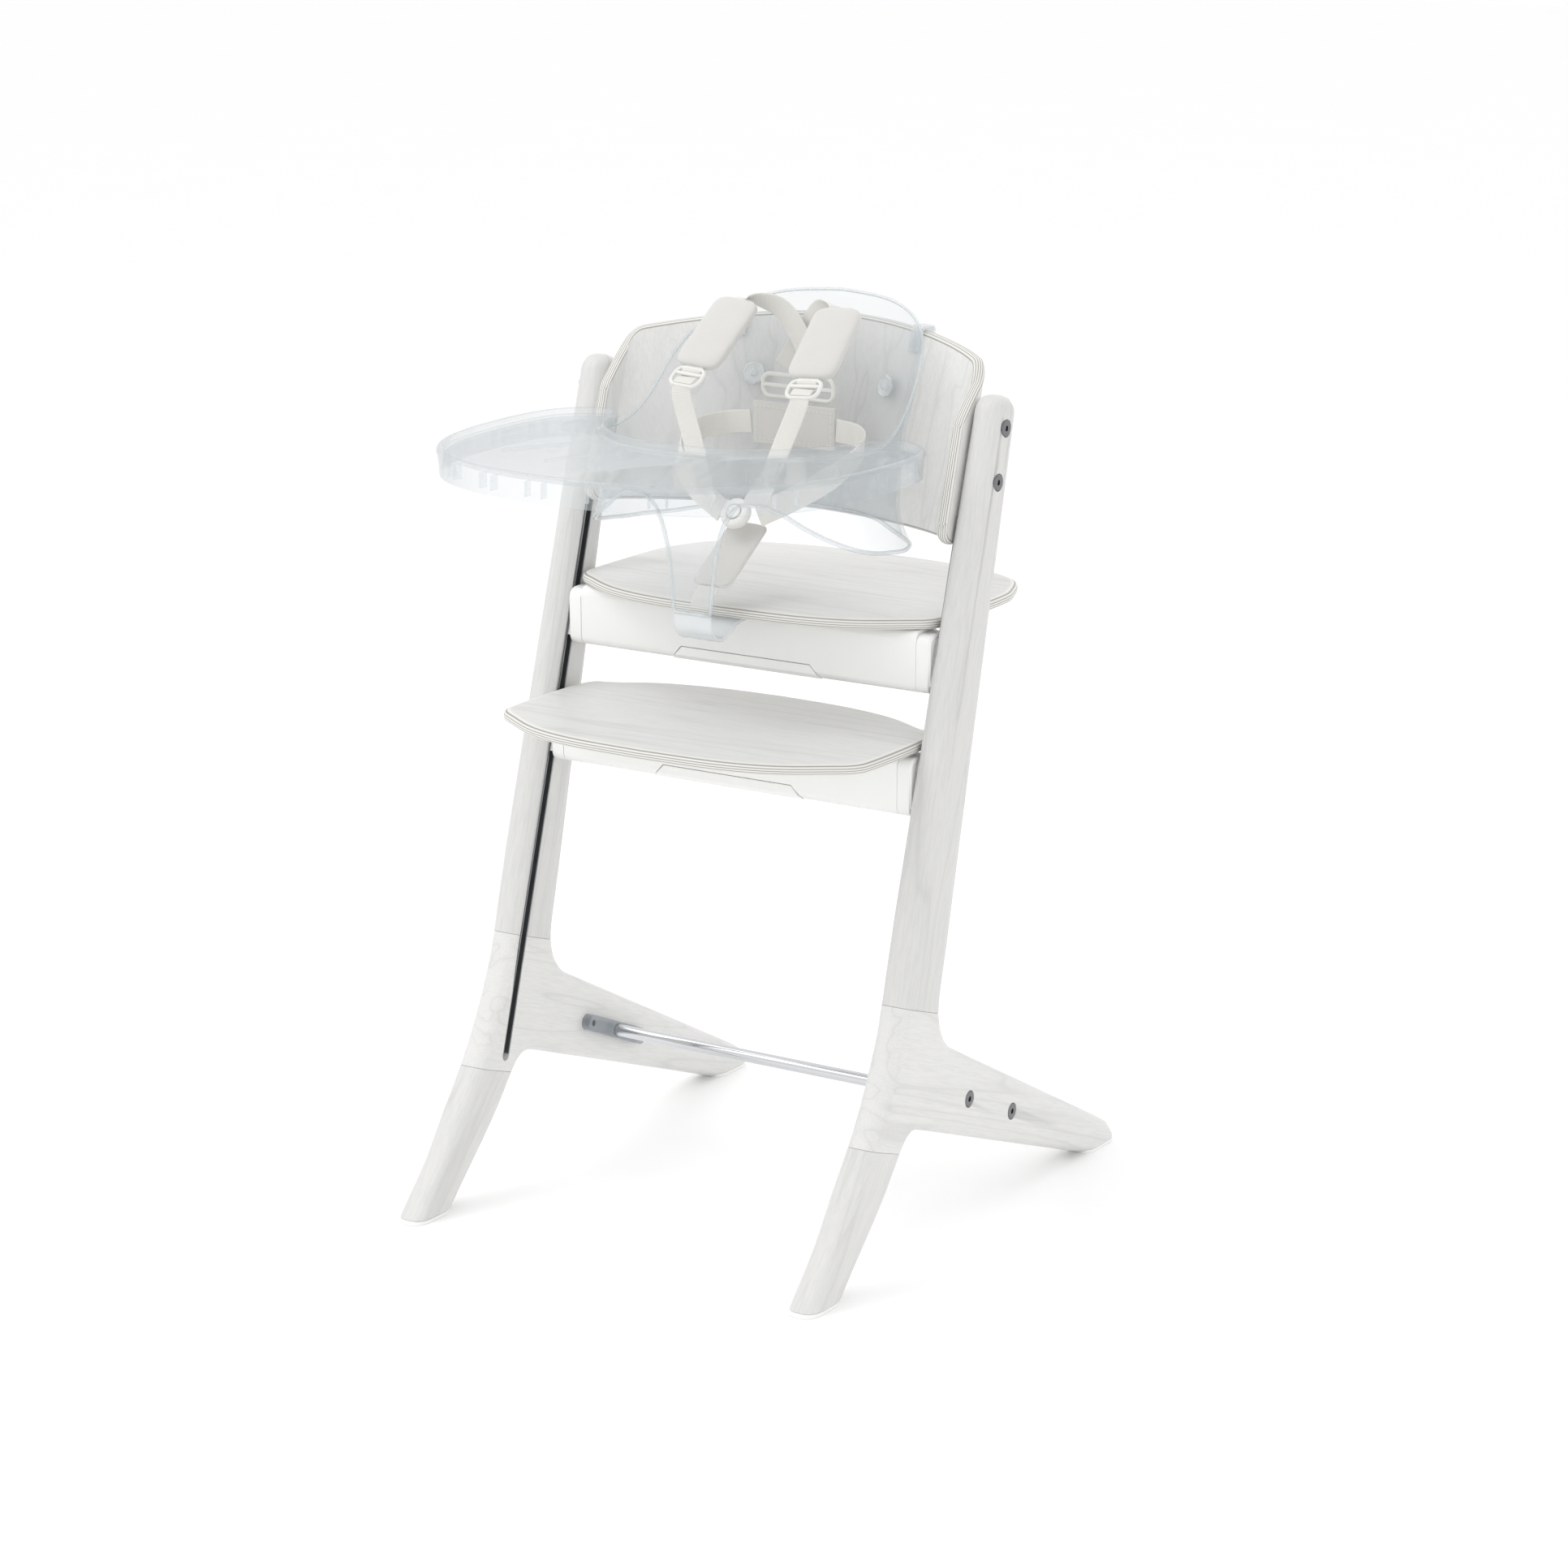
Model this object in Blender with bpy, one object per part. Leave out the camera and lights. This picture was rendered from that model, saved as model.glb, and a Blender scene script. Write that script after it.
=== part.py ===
"""Baby high chair: two glued birch side frames, a sliding seat and footrest, a bent plywood
backrest, and a clear baby shell with a harness and a tray. Metres, +Z up, front towards -Y.
The origin is on the floor, at the middle of the chair's width."""

import math

import bmesh
import bpy
from mathutils import Matrix, Vector
from mathutils.geometry import delaunay_2d_cdt

MM = 0.001
GAP = 0.0003  # clearance between pieces that touch
Y_CENTRE = 0.0115  # middle of the depth in the drawing below; the finished chair is moved by it

# Side frames
FRAME_HALF_WIDTH = 0.240
FRAME_THICKNESS = 0.033
EDGE_RADIUS = 0.012
INNER_FACE = FRAME_HALF_WIDTH - FRAME_THICKNESS
FRAME_MIDDLE = FRAME_HALF_WIDTH - FRAME_THICKNESS / 2
GLIDE_THICKNESS = 0.004
JOINT_NORMAL = (0.0, 0.322, 0.947)  # both glued joints lie square to the leg
UPPER_JOINT = (0.0, -0.059, 0.2425)
LOWER_JOINT = (0.0, -0.119, 0.1203)

# Slot that guides the seat and the footrest: y = SLOT_Y + SLOT_LEAN * (z - SLOT_Z)
SLOT_Y, SLOT_Z, SLOT_LEAN = -0.0500, 0.3453, 0.295
SLOT_BOTTOM, SLOT_TOP = 0.1345, 0.690
GROOVE_WIDTH, GROOVE_DEPTH = 0.0108, 0.0092
TRACK_WIDTH, TRACK_DEPTH, TRACK_WALL = 0.0100, 0.0086, 0.0012

# Boards, each on a crossbar of the same shape
BOARD_THICKNESS = 0.010
BOARD_HALF_WIDTH = 0.205
CROSSBAR_HEIGHT = 0.060
CROSSBAR_DEPTH = 0.040
CROSSBAR_HALF_LENGTH = 0.1905
CAP_OUTER_FACE = 0.2055
SEAT_BOTTOM, FOOTREST_BOTTOM = 0.529, 0.418
CROSSBAR_FRONT_OF_SLOT = 0.0108
LEVER_HALF_WIDTH, LEVER_HEIGHT, LEVER_DEPTH = 0.085, 0.013, 0.006
LEVER_TAPER, LEVER_TRAVEL = 0.012, 0.003

# Backrest of bent plywood
PLY_THICKNESS = 0.011
BACK_LEAN = 0.30
BACK_Z = 0.75  # height at which the plan below holds
BACK_HALF_WIDTH = 0.200
BACK_FRONT, BACK_STRAIGHT, BACK_SWEEP = 0.0505, 0.026, 0.078
BACK_POWER = 1.45
BACK_BEND = 0.85  # share of the half-length that is curved; the rest lies flat on the post
BACK_BOTTOM, BACK_TOP, BACK_ARCH = 0.665, 0.850, 0.53

# Bolts
HEAD_RADIUS, HEAD_HEIGHT, SHANK_RADIUS, HEX_RADIUS = 0.008, 0.004, 0.003, 0.0028
BACKREST_BOLTS = ((0.0812, 0.7735), (0.0673, 0.7246))
STRETCHER_BOLTS = ((0.0265, 0.1316), (0.1103, 0.0947))

# Stretcher
BAR_RADIUS = 0.00625
BAR_CENTRE = (0.06855, 0.11295)
FLANGE_LENGTH, FLANGE_HEIGHT, FLANGE_THICKNESS = 0.109, 0.017, 0.009

# Clear shell
SHELL_WALL = 0.0034
SHELL_POWER = 2.4
POST_BOTTOM = 0.600

# Tray
TRAY_CENTRE_Y = -0.145
TRAY_TOP, TRAY_DECK, TRAY_UNDER, TRAY_SKIRT = 0.765, 0.7605, 0.7575, 0.738

# Harness
WEBBING_WIDTH, WEBBING_THICKNESS = 0.025, 0.0016
PAD_TOP, PAD_FOOT = (0.057, 0.083, 0.868), (0.064, 0.017, 0.815)
BUCKLE = (0.0, -0.012, 0.683)
BUCKLE_AXIS = (0.0, -0.80, 0.60)
KNOB_X, KNOB_Z, KNOB_RADIUS = 0.077, 0.789, 0.012

COLOURS = {
    "birch": ((0.83, 0.82, 0.79), 0.5, 0.0, 1.0),
    "plywood": ((0.84, 0.83, 0.80), 0.5, 0.0, 1.0),
    "white_plastic": ((0.90, 0.90, 0.88), 0.35, 0.0, 1.0),
    "track_metal": ((0.16, 0.17, 0.18), 0.35, 0.9, 1.0),
    "chrome": ((0.75, 0.76, 0.78), 0.12, 1.0, 1.0),
    "smoke_plastic": ((0.45, 0.47, 0.50), 0.2, 0.0, 0.6),
    "clear_plastic": ((0.80, 0.87, 0.91), 0.08, 0.0, 0.35),
    "webbing": ((0.82, 0.80, 0.76), 0.8, 0.0, 1.0),
    "padding": ((0.85, 0.84, 0.81), 0.85, 0.0, 1.0),
    "cream_plastic": ((0.86, 0.85, 0.81), 0.4, 0.0, 1.0),
}


# ---------------------------------------------------------------- general helpers

def clear_scene():
    for item in list(bpy.data.objects):
        bpy.data.objects.remove(item, do_unlink=True)


def material(name):
    found = bpy.data.materials.get(name)
    if found:
        return found
    colour, roughness, metallic, alpha = COLOURS[name]
    made = bpy.data.materials.new(name)
    made.use_nodes = True
    shader = made.node_tree.nodes["Principled BSDF"]
    shader.inputs["Base Color"].default_value = (*colour, 1.0)
    shader.inputs["Roughness"].default_value = roughness
    shader.inputs["Metallic"].default_value = metallic
    shader.inputs["Alpha"].default_value = alpha
    return made


def add_object(name, bm, finish, sharp_degrees=35.0):
    """Turn a bmesh into a smooth-shaded object with outward faces."""
    bmesh.ops.recalc_face_normals(bm, faces=bm.faces)
    mesh = bpy.data.meshes.new(name)
    bm.to_mesh(mesh)
    bm.free()
    mesh.materials.append(material(finish))
    mesh.shade_smooth()
    mesh.set_sharp_from_angle(angle=math.radians(sharp_degrees))
    item = bpy.data.objects.new(name, mesh)
    bpy.context.scene.collection.objects.link(item)
    return item


def carry(name, place, items, parent=None):
    """Empty at a joint, or at the object's origin, that carries pieces where they stand."""
    holder = bpy.data.objects.new(name, None)
    holder.location = place
    holder.parent = parent
    bpy.context.scene.collection.objects.link(holder)
    for item in items:
        item.parent = holder
        if parent:
            item.matrix_parent_inverse = Matrix.Translation(place).inverted()
    return holder


def cutter(name, bm):
    item = add_object(name, bm, "chrome")
    item.hide_render = True
    item.display_type = "WIRE"
    return item


def cut(item, tool):
    step = item.modifiers.new("cut", "BOOLEAN")
    step.operation = "DIFFERENCE"
    step.solver = "EXACT"
    step.object = tool


def cap(bm, corners, plane):
    """Close a flat loop with triangles; plane gives the two coordinates it lies in."""
    flat = [Vector((corner.co[plane[0]], corner.co[plane[1]])) for corner in corners]
    for triangle in delaunay_2d_cdt(flat, [], [list(range(len(flat)))], 1, 1e-9)[2]:
        bm.faces.new([corners[i] for i in triangle])


def loft(rings, closed=False, cap_plane=None):
    """Skin a list of equal closed loops of points; cap the two ends unless they meet."""
    bm = bmesh.new()
    rows = [[bm.verts.new(point) for point in ring] for ring in rings]
    count = len(rings[0])
    pairs = list(zip(rows, rows[1:]))
    if closed:
        pairs.append((rows[-1], rows[0]))
    for low, high in pairs:
        for i in range(count):
            j = (i + 1) % count
            bm.faces.new((low[i], low[j], high[j], high[i]))
    if cap_plane:
        cap(bm, rows[0], cap_plane)
        cap(bm, rows[-1], cap_plane)
    elif not closed:
        bm.faces.new(rows[0])
        bm.faces.new(rows[-1])
    return bm


def inset(outline, distance):
    """Move each side of a closed 2-D outline inwards; the outline runs anticlockwise."""
    moved = []
    count = len(outline)
    for i, here in enumerate(outline):
        before = Vector(here) - Vector(outline[i - 1])
        after = Vector(outline[(i + 1) % count]) - Vector(here)
        n1 = Vector((-before.y, before.x)).normalized()
        n2 = Vector((-after.y, after.x)).normalized()
        step = (n1 + n2) / (1.0 + n1.dot(n2))
        moved.append(tuple(Vector(here) + step * distance))
    return moved


def smooth_curve(points, steps):
    """Catmull-Rom curve through 2-D or 3-D points."""
    points = [Vector(p) for p in points]
    ends = [2 * points[0] - points[1], *points, 2 * points[-1] - points[-2]]
    curve = []
    for a, b, c, d in zip(ends, ends[1:], ends[2:], ends[3:]):
        for k in range(steps):
            t = k / steps
            curve.append(
                0.5 * (2 * b + (c - a) * t + (2 * a - 5 * b + 4 * c - d) * t * t
                       + (3 * b - 3 * c + d - a) * t ** 3)
            )
    curve.append(points[-1])
    return [tuple(p) for p in curve]


def arc(centre, radius, first, last, steps):
    """Points on a circle arc, angles in degrees."""
    angles = [math.radians(first + (last - first) * k / steps) for k in range(steps + 1)]
    return [(centre[0] + radius * math.cos(a), centre[1] + radius * math.sin(a)) for a in angles]


def scaled(points):
    return [tuple(value * MM for value in point) for point in points]


def keep_above(bm, point, normal):
    """Cut a closed mesh by a plane, keep the side that the normal points to, and close it."""
    everything = bm.verts[:] + bm.edges[:] + bm.faces[:]
    bmesh.ops.bisect_plane(bm, geom=everything, plane_co=point, plane_no=normal, clear_inner=True)
    open_edges = [edge for edge in bm.edges if edge.is_boundary]
    bmesh.ops.holes_fill(bm, edges=open_edges, sides=0)


def keep_below(bm, point, normal):
    keep_above(bm, point, [-value for value in normal])


def tidy_faces(bm):
    """Drop the needless points that cuts leave in flat faces, then make every face flat."""
    bmesh.ops.dissolve_limit(bm, angle_limit=math.radians(0.02), verts=bm.verts, edges=bm.edges)
    bmesh.ops.triangulate(bm, faces=bm.faces)


def cylinder(radius, start, end, sides):
    """Closed round rod between two points."""
    start, end = Vector(start), Vector(end)
    axis = end - start
    bm = bmesh.new()
    turn = axis.to_track_quat("Z", "Y").to_matrix().to_4x4()
    place = Matrix.Translation((start + end) / 2) @ turn
    bmesh.ops.create_cone(bm, cap_ends=True, segments=sides, radius1=radius, radius2=radius,
                          depth=axis.length, matrix=place)
    return bm


def turned(profile, start, direction, sides):
    """Solid of revolution: profile is (distance along the axis, radius), from end to end."""
    direction = Vector(direction).normalized()
    turn = direction.to_track_quat("Z", "Y").to_matrix()
    rings = []
    for along, radius in profile:
        ring = []
        for k in range(sides):
            angle = 2 * math.pi * k / sides
            local = Vector((radius * math.cos(angle), radius * math.sin(angle), along))
            ring.append(Vector(start) + turn @ local)
        rings.append(ring)
    return loft(rings)


def rounded_box(name, size, centre, finish, radius, segments=2, axes=None):
    """Box with rounded edges; axes is an optional 3x3 matrix that turns it."""
    bm = bmesh.new()
    bmesh.ops.create_cube(bm, size=1.0)
    bmesh.ops.scale(bm, verts=bm.verts, vec=size)
    bmesh.ops.bevel(bm, geom=bm.verts[:] + bm.edges[:], offset=radius, segments=segments,
                    profile=0.5, affect="EDGES")
    place = Matrix.Translation(centre)
    if axes:
        place = place @ axes.to_4x4()
    bmesh.ops.transform(bm, matrix=place, verts=bm.verts)
    return add_object(name, bm, finish)


def ribbon(name, path, across, width, thickness, finish):
    """Flat strap along a path of points; across gives the width direction at its two ends."""
    points = [Vector(p) for p in path]
    rings = []
    for i, point in enumerate(points):
        ahead = points[min(i + 1, len(points) - 1)] - points[max(i - 1, 0)]
        share = i / (len(points) - 1)
        side = Vector(across[0]).lerp(Vector(across[1]), share)
        side = (side - ahead * (side.dot(ahead) / ahead.length_squared)).normalized()
        flat = ahead.cross(side).normalized()
        half, thin = side * (width / 2), flat * (thickness / 2)
        rings.append([point - half - thin, point + half - thin, point + half + thin,
                      point - half + thin])
    return add_object(name, loft(rings), finish)


# ---------------------------------------------------------------- side frames

def frame_outline():
    """Side view of a frame as (y, z), anticlockwise; it runs on below the floor."""
    rear_crotch = smooth_curve(scaled([
        (-10.5, 301), (-18.3, 271), (-23.8, 248), (-25.2, 236), (-23.8, 224), (-17.5, 209),
        (-4.6, 194), (18, 181.3)]), 3)
    toe = scaled([(303, 31.5), (318, 23), (328, 11), (332, -6), (333, -40)])
    under = scaled([(271, -40), (272, 1), (200, 28)])
    arch = smooth_curve(scaled([
        (-40, 117.4), (-58, 123.5), (-72, 125.8), (-85, 121.5), (-96, 111.5), (-121, 81),
        (-143, 58)]), 3)
    foot = scaled([(-182, 20), (-203, -1), (-205, -40), (-268, -40), (-262, -4)])
    front = smooth_curve(scaled([
        (-238, 21), (-209, 52), (-183.4, 87.4), (-159.9, 118.4), (-138.8, 148),
        (-121.5, 179), (-107, 209), (-94.5, 241), (-84.5, 279), (-69.2, 334)]), 2)
    top = arc((0.0868, 0.7855), 0.0173, 163, -13.4, 10)
    clockwise = front + top + rear_crotch + toe + under + arch + foot
    return clockwise[::-1]


def frame_solid(side):
    """Whole side frame with rounded edges, before it is parted into its three pieces."""
    outline = frame_outline()
    core = FRAME_THICKNESS / 2 - EDGE_RADIUS
    rings = []
    for sign in (-1, 1):
        steps = (90, 60, 30, 0) if sign < 0 else (0, 30, 60, 90)
        for degrees in steps:
            angle = math.radians(degrees)
            x = side * (FRAME_MIDDLE - sign * (core + EDGE_RADIUS * math.sin(angle)))
            layer = inset(outline, EDGE_RADIUS * (1 - math.cos(angle)))
            rings.append([(x, y, z) for y, z in layer])
    return loft(rings, cap_plane=(1, 2))


def slot_point(z, x):
    return Vector((x, SLOT_Y + SLOT_LEAN * (z - SLOT_Z), z))


def slot_bar(side, width, from_x, to_x, bottom, top, round_end=False):
    """Straight bar that lies along the slot, with an optional round lower end."""
    along = Vector((0, SLOT_LEAN, 1)).normalized()
    across = Vector((0, 1, -SLOT_LEAN)).normalized()
    low, high = slot_point(bottom, 0), slot_point(top, 0)
    outline = [high + across * width / 2, high - across * width / 2]
    if round_end:
        for k in range(7):
            angle = math.pi * k / 6
            outline.append(low - across * math.cos(angle) * width / 2
                           - along * math.sin(angle) * width / 2)
    else:
        outline += [low - across * width / 2, low + across * width / 2]
    rings = [[Vector((side * x, p.y, p.z)) for p in outline] for x in (from_x, to_x)]
    return loft(rings)


def bolt_hole(name, y, z, side, outer, inner):
    """Counterbore and shank hole of a frame bolt."""
    head = FRAME_HALF_WIDTH - HEAD_HEIGHT + 0.0001
    profile = ((0.0, HEAD_RADIUS + 0.0006), (outer - head, HEAD_RADIUS + 0.0006),
               (outer - head, SHANK_RADIUS + 0.0005), (outer - inner, SHANK_RADIUS + 0.0005))
    return cutter(name, turned(profile, (side * outer, y, z), (-side, 0, 0), 18))


def make_side_frame(label, side):
    groove = cutter(f"{label}_groove_cutter",
                    slot_bar(side, GROOVE_WIDTH, INNER_FACE - 0.01, INNER_FACE + GROOVE_DEPTH,
                             SLOT_BOTTOM, SLOT_TOP + 0.002, round_end=True))
    normal = Vector(JOINT_NORMAL).normalized()
    shift = normal * GAP / 2
    upper, lower = Vector(UPPER_JOINT), Vector(LOWER_JOINT)
    floor = (0, 0, GLIDE_THICKNESS)

    post = frame_solid(side)
    keep_above(post, upper + shift, normal)
    tidy_faces(post)
    post = add_object(f"{label}_post", post, "birch")

    rear = frame_solid(side)
    keep_below(rear, upper - shift, normal)
    keep_above(rear, lower + shift, normal)
    keep_above(rear, floor, (0, 0, 1))
    tidy_faces(rear)
    rear = add_object(f"{label}_rear_leg", rear, "birch")

    front = frame_solid(side)
    keep_below(front, lower - shift, normal)
    keep_above(front, floor, (0, 0, 1))
    tidy_faces(front)
    add_object(f"{label}_front_leg", front, "birch")

    cut(post, groove)
    cut(rear, groove)
    for number, (y, z) in enumerate(BACKREST_BOLTS):
        hole = bolt_hole(f"{label}_post_hole_{number}", y, z, side, 0.250, 0.200)
        cut(post, hole)
    for number, (y, z) in enumerate(STRETCHER_BOLTS):
        hole = bolt_hole(f"{label}_leg_hole_{number}", y, z, side, 0.250, 0.200)
        cut(rear, hole)

    for end, direction in (("front", -1), ("rear", 1)):
        glide = frame_solid(side)
        keep_above(glide, (0, 0, 0), (0, 0, 1))
        keep_below(glide, (0, 0, GLIDE_THICKNESS - GAP), (0, 0, 1))
        keep_above(glide, (0, 0, 0), (0, direction, 0))
        tidy_faces(glide)
        add_object(f"{label}_{end}_glide", glide, "white_plastic")


def make_track(label, side):
    """U-shaped metal track in the groove, open towards the seat."""
    outer = INNER_FACE + TRACK_DEPTH
    body = slot_bar(side, TRACK_WIDTH, INNER_FACE + 0.0002, outer, SLOT_BOTTOM + 0.002, SLOT_TOP)
    track = add_object(f"{label}_track", body, "track_metal")
    inner_width = TRACK_WIDTH - 2 * TRACK_WALL
    channel = slot_bar(side, inner_width, INNER_FACE - 0.005, outer - TRACK_WALL,
                       SLOT_BOTTOM - 0.01, SLOT_TOP + 0.01)
    cut(track, cutter(f"{label}_channel_cutter", channel))


def make_bolt(name, side, y, z, tip_x):
    """Flat-headed bolt with a hex socket, its head sunk in the outside of a frame."""
    face = FRAME_HALF_WIDTH + 0.0004
    profile = ((0.0, HEAD_RADIUS - 0.0008), (0.0008, HEAD_RADIUS), (HEAD_HEIGHT, HEAD_RADIUS),
               (HEAD_HEIGHT, SHANK_RADIUS), (face - tip_x, SHANK_RADIUS))
    item = add_object(name, turned(profile, (side * face, y, z), (-side, 0, 0), 24), "chrome")
    socket = cylinder(HEX_RADIUS, (side * (face + 0.002), y, z),
                      (side * (face - 0.0025), y, z), 6)
    cut(item, cutter(name + "_socket_cutter", socket))


def make_stretcher():
    """Round bar between the rear legs, held at each end by a bolted flange."""
    y, z = BAR_CENTRE
    end = INNER_FACE - 0.001
    bar = cylinder(BAR_RADIUS, (-end, y, z), (end, y, z), 24)
    add_object("stretcher_bar", bar, "chrome")
    (y1, z1), (y2, z2) = STRETCHER_BOLTS
    along = Vector((0, y2 - y1, z2 - z1)).normalized()
    across = Vector((0, along.z, -along.y))
    centre = Vector((0, y, z))
    radius = FLANGE_HEIGHT / 2
    reach = FLANGE_LENGTH / 2 - radius
    for label, side in (("left", -1), ("right", 1)):
        outline = []
        for sign in (1, -1):
            for k in range(9):
                angle = math.pi * (k / 8 - 0.5)
                outline.append(centre + sign * (along * (reach + radius * math.cos(angle))
                                                + across * radius * math.sin(angle)))
        outer = INNER_FACE - GAP
        rings = [[Vector((side * x, p.y, p.z)) for p in outline]
                 for x in (outer, outer - FLANGE_THICKNESS)]
        flange = add_object(f"{label}_stretcher_flange", loft(rings), "smoke_plastic")
        for number, spot in enumerate(((y, z), (y1, z1), (y2, z2))):
            size = BAR_RADIUS + GAP if number == 0 else SHANK_RADIUS + 0.0004
            tool = cylinder(size, (side * 0.19, *spot), (side * 0.215, *spot), 24)
            cut(flange, cutter(f"{label}_flange_hole_{number}", tool))


# ---------------------------------------------------------------- backrest

def back_plan(share):
    """Middle of the plywood at height BACK_Z; share runs from -1 (left end) to 1."""
    if abs(share) > BACK_BEND:
        forward = (abs(share) - BACK_BEND) / (1 - BACK_BEND)
        return Vector((math.copysign(BACK_HALF_WIDTH, share),
                       BACK_FRONT + BACK_STRAIGHT * (1 - forward)))
    angle = share / BACK_BEND * math.pi / 2
    power = 2 / BACK_POWER
    x = math.copysign(abs(math.sin(angle)) ** power, angle) * BACK_HALF_WIDTH
    y = BACK_FRONT + BACK_STRAIGHT + BACK_SWEEP * abs(math.cos(angle)) ** power
    return Vector((x, y))


def back_top(share):
    """Height of the top edge: a flat arch that steps down to the front end in an S."""
    x = back_plan(share).x
    arch = BACK_TOP - BACK_ARCH * x * x
    end = 1 - abs(share)  # 0 at the front end of a wing
    step = min(end / 0.30, 1.0)
    fall = 0.052 * (1 - step) ** 1.6
    return arch - fall


def back_bottom(share):
    """Height of the bottom edge, with a rounded lower front corner."""
    end = 1 - abs(share)
    round_share = min(end / 0.14, 1.0)
    return BACK_BOTTOM + 0.020 * (1 - math.sqrt(1 - (1 - round_share) ** 2))


def make_backrest():
    columns, rows = 41, 5
    shares = []
    for i in range(columns):
        even = 2 * i / (columns - 1) - 1
        shares.append(math.copysign(1 - (1 - abs(even)) ** 1.25, even))
    plan = [back_plan(share) for share in shares]
    rings = []
    for i, share in enumerate(shares):
        ahead = plan[min(i + 1, columns - 1)] - plan[max(i - 1, 0)]
        if i in (0, columns - 1):
            ahead = Vector((0, 1)) * (1 if i == 0 else -1)
        normal = Vector((-ahead.y, ahead.x)).normalized() * (PLY_THICKNESS / 2)
        low, high = back_bottom(share), back_top(share)
        ring = []
        for side in (-1, 1):
            heights = [low + (high - low) * k / (rows - 1) for k in range(rows)]
            if side > 0:
                heights.reverse()
            for z in heights:
                spot = plan[i] + normal * side
                ring.append((spot.x, spot.y + BACK_LEAN * (z - BACK_Z), z))
        rings.append(ring)
    back = add_object("backrest", loft(rings), "plywood")
    for label, side in (("left", -1), ("right", 1)):
        for number, (y, z) in enumerate(BACKREST_BOLTS):
            tool = cylinder(SHANK_RADIUS + 0.0004, (side * 0.1975, y, z), (side * 0.212, y, z), 16)
            cut(back, cutter(f"{label}_back_hole_{number}", tool))


# ---------------------------------------------------------------- seat and footrest

def board_outline(front, back, side_front, side_back):
    """Rounded board seen from above; the right half is drawn and then mirrored."""
    half = BOARD_HALF_WIDTH
    right = smooth_curve([
        (0.0, front), (0.080, front + 0.004), (0.135, front + 0.018), (0.178, front + 0.044),
        (0.199, side_front - 0.012), (half, side_front + 0.014), (half, side_back - 0.02),
        (0.197, side_back + 0.018), (0.175, back - 0.040), (0.130, back - 0.017),
        (0.070, back - 0.004), (0.0, back)], 2)
    left = [(-x, y) for x, y in right[-2:0:-1]]
    return right + left


def make_board(name, outline, bottom):
    """Plywood board with a chamfered top edge and a softened lower one."""
    layers = ((0.0, 0.0020), (0.0016, 0.0004), (0.0060, 0.0), (0.0088, 0.0022), (0.010, 0.0060))
    rings = []
    for height, distance in layers:
        rings.append([(x, y, bottom + height) for x, y in inset(outline, distance)])
    return add_object(name, loft(rings), "plywood")


def bar_section(front, bottom, top, depth):
    """Rounded section of a crossbar as (y, z)."""
    radius = 0.009
    back = front + depth
    corners = (((front + radius, bottom + radius), 270, 180), ((front + radius, top - radius), 180, 90),
               ((back - radius, top - radius), 90, 0), ((back - radius, bottom + radius), 0, -90))
    points = []
    for centre, first, last in corners:
        points += arc(centre, radius, first, last, 3)
    return points


def make_carriage(label, bottom):
    """Crossbar with two end caps that run in the tracks, and its squeeze lever."""
    middle = bottom + CROSSBAR_HEIGHT / 2
    front = slot_point(middle, 0).y - CROSSBAR_FRONT_OF_SLOT
    top = bottom + CROSSBAR_HEIGHT - GAP
    section = bar_section(front, bottom, top, CROSSBAR_DEPTH)
    rings = [[(x, y, z) for y, z in section] for x in (-CROSSBAR_HALF_LENGTH, CROSSBAR_HALF_LENGTH)]
    bar = add_object(f"{label}_crossbar", loft(rings), "white_plastic")
    cut(bar, cutter(f"{label}_lever_recess", lever_recess(front, bottom)))
    add_object(f"{label}_lever", lever_shape(front, bottom), "white_plastic")

    cap_section = bar_section(front, bottom, top - 0.0035, CROSSBAR_DEPTH)
    for side_label, side in (("left", -1), ("right", 1)):
        inner = CROSSBAR_HALF_LENGTH + GAP
        rings = []
        for x, distance in ((inner, 0.0), (CAP_OUTER_FACE - 0.002, 0.0), (CAP_OUTER_FACE, 0.002)):
            layer = inset(cap_section[::-1], distance)
            rings.append([(side * x, y, z) for y, z in layer])
        cap = add_object(f"{label}_{side_label}_cap", loft(rings), "white_plastic")
        tongue = slot_bar(side, TRACK_WIDTH - 2 * TRACK_WALL - 0.001, CAP_OUTER_FACE - 0.004,
                          INNER_FACE + TRACK_DEPTH - TRACK_WALL - 0.0008, middle - 0.022,
                          middle + 0.022)
        join = cap.modifiers.new("tongue", "BOOLEAN")
        join.operation = "UNION"
        join.solver = "EXACT"
        join.object = cutter(f"{label}_{side_label}_tongue", tongue)


def lever_shape(front, bottom):
    """Trapezoid flap set in the lower front edge of a crossbar, its lower edge chamfered."""
    near, far = front + 0.0004, front + LEVER_DEPTH
    top = bottom + LEVER_HEIGHT
    narrow = LEVER_HALF_WIDTH - LEVER_TAPER
    chamfer = 0.0045
    raised = LEVER_HALF_WIDTH - LEVER_TAPER * chamfer / LEVER_HEIGHT
    rings = []
    for y, low, wide in ((near, bottom + chamfer, raised), (near + chamfer, bottom, LEVER_HALF_WIDTH),
                         (far, bottom, LEVER_HALF_WIDTH)):
        rings.append([(-wide, y, low), (wide, y, low), (narrow, y, top), (-narrow, y, top)])
    return loft(rings)


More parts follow.
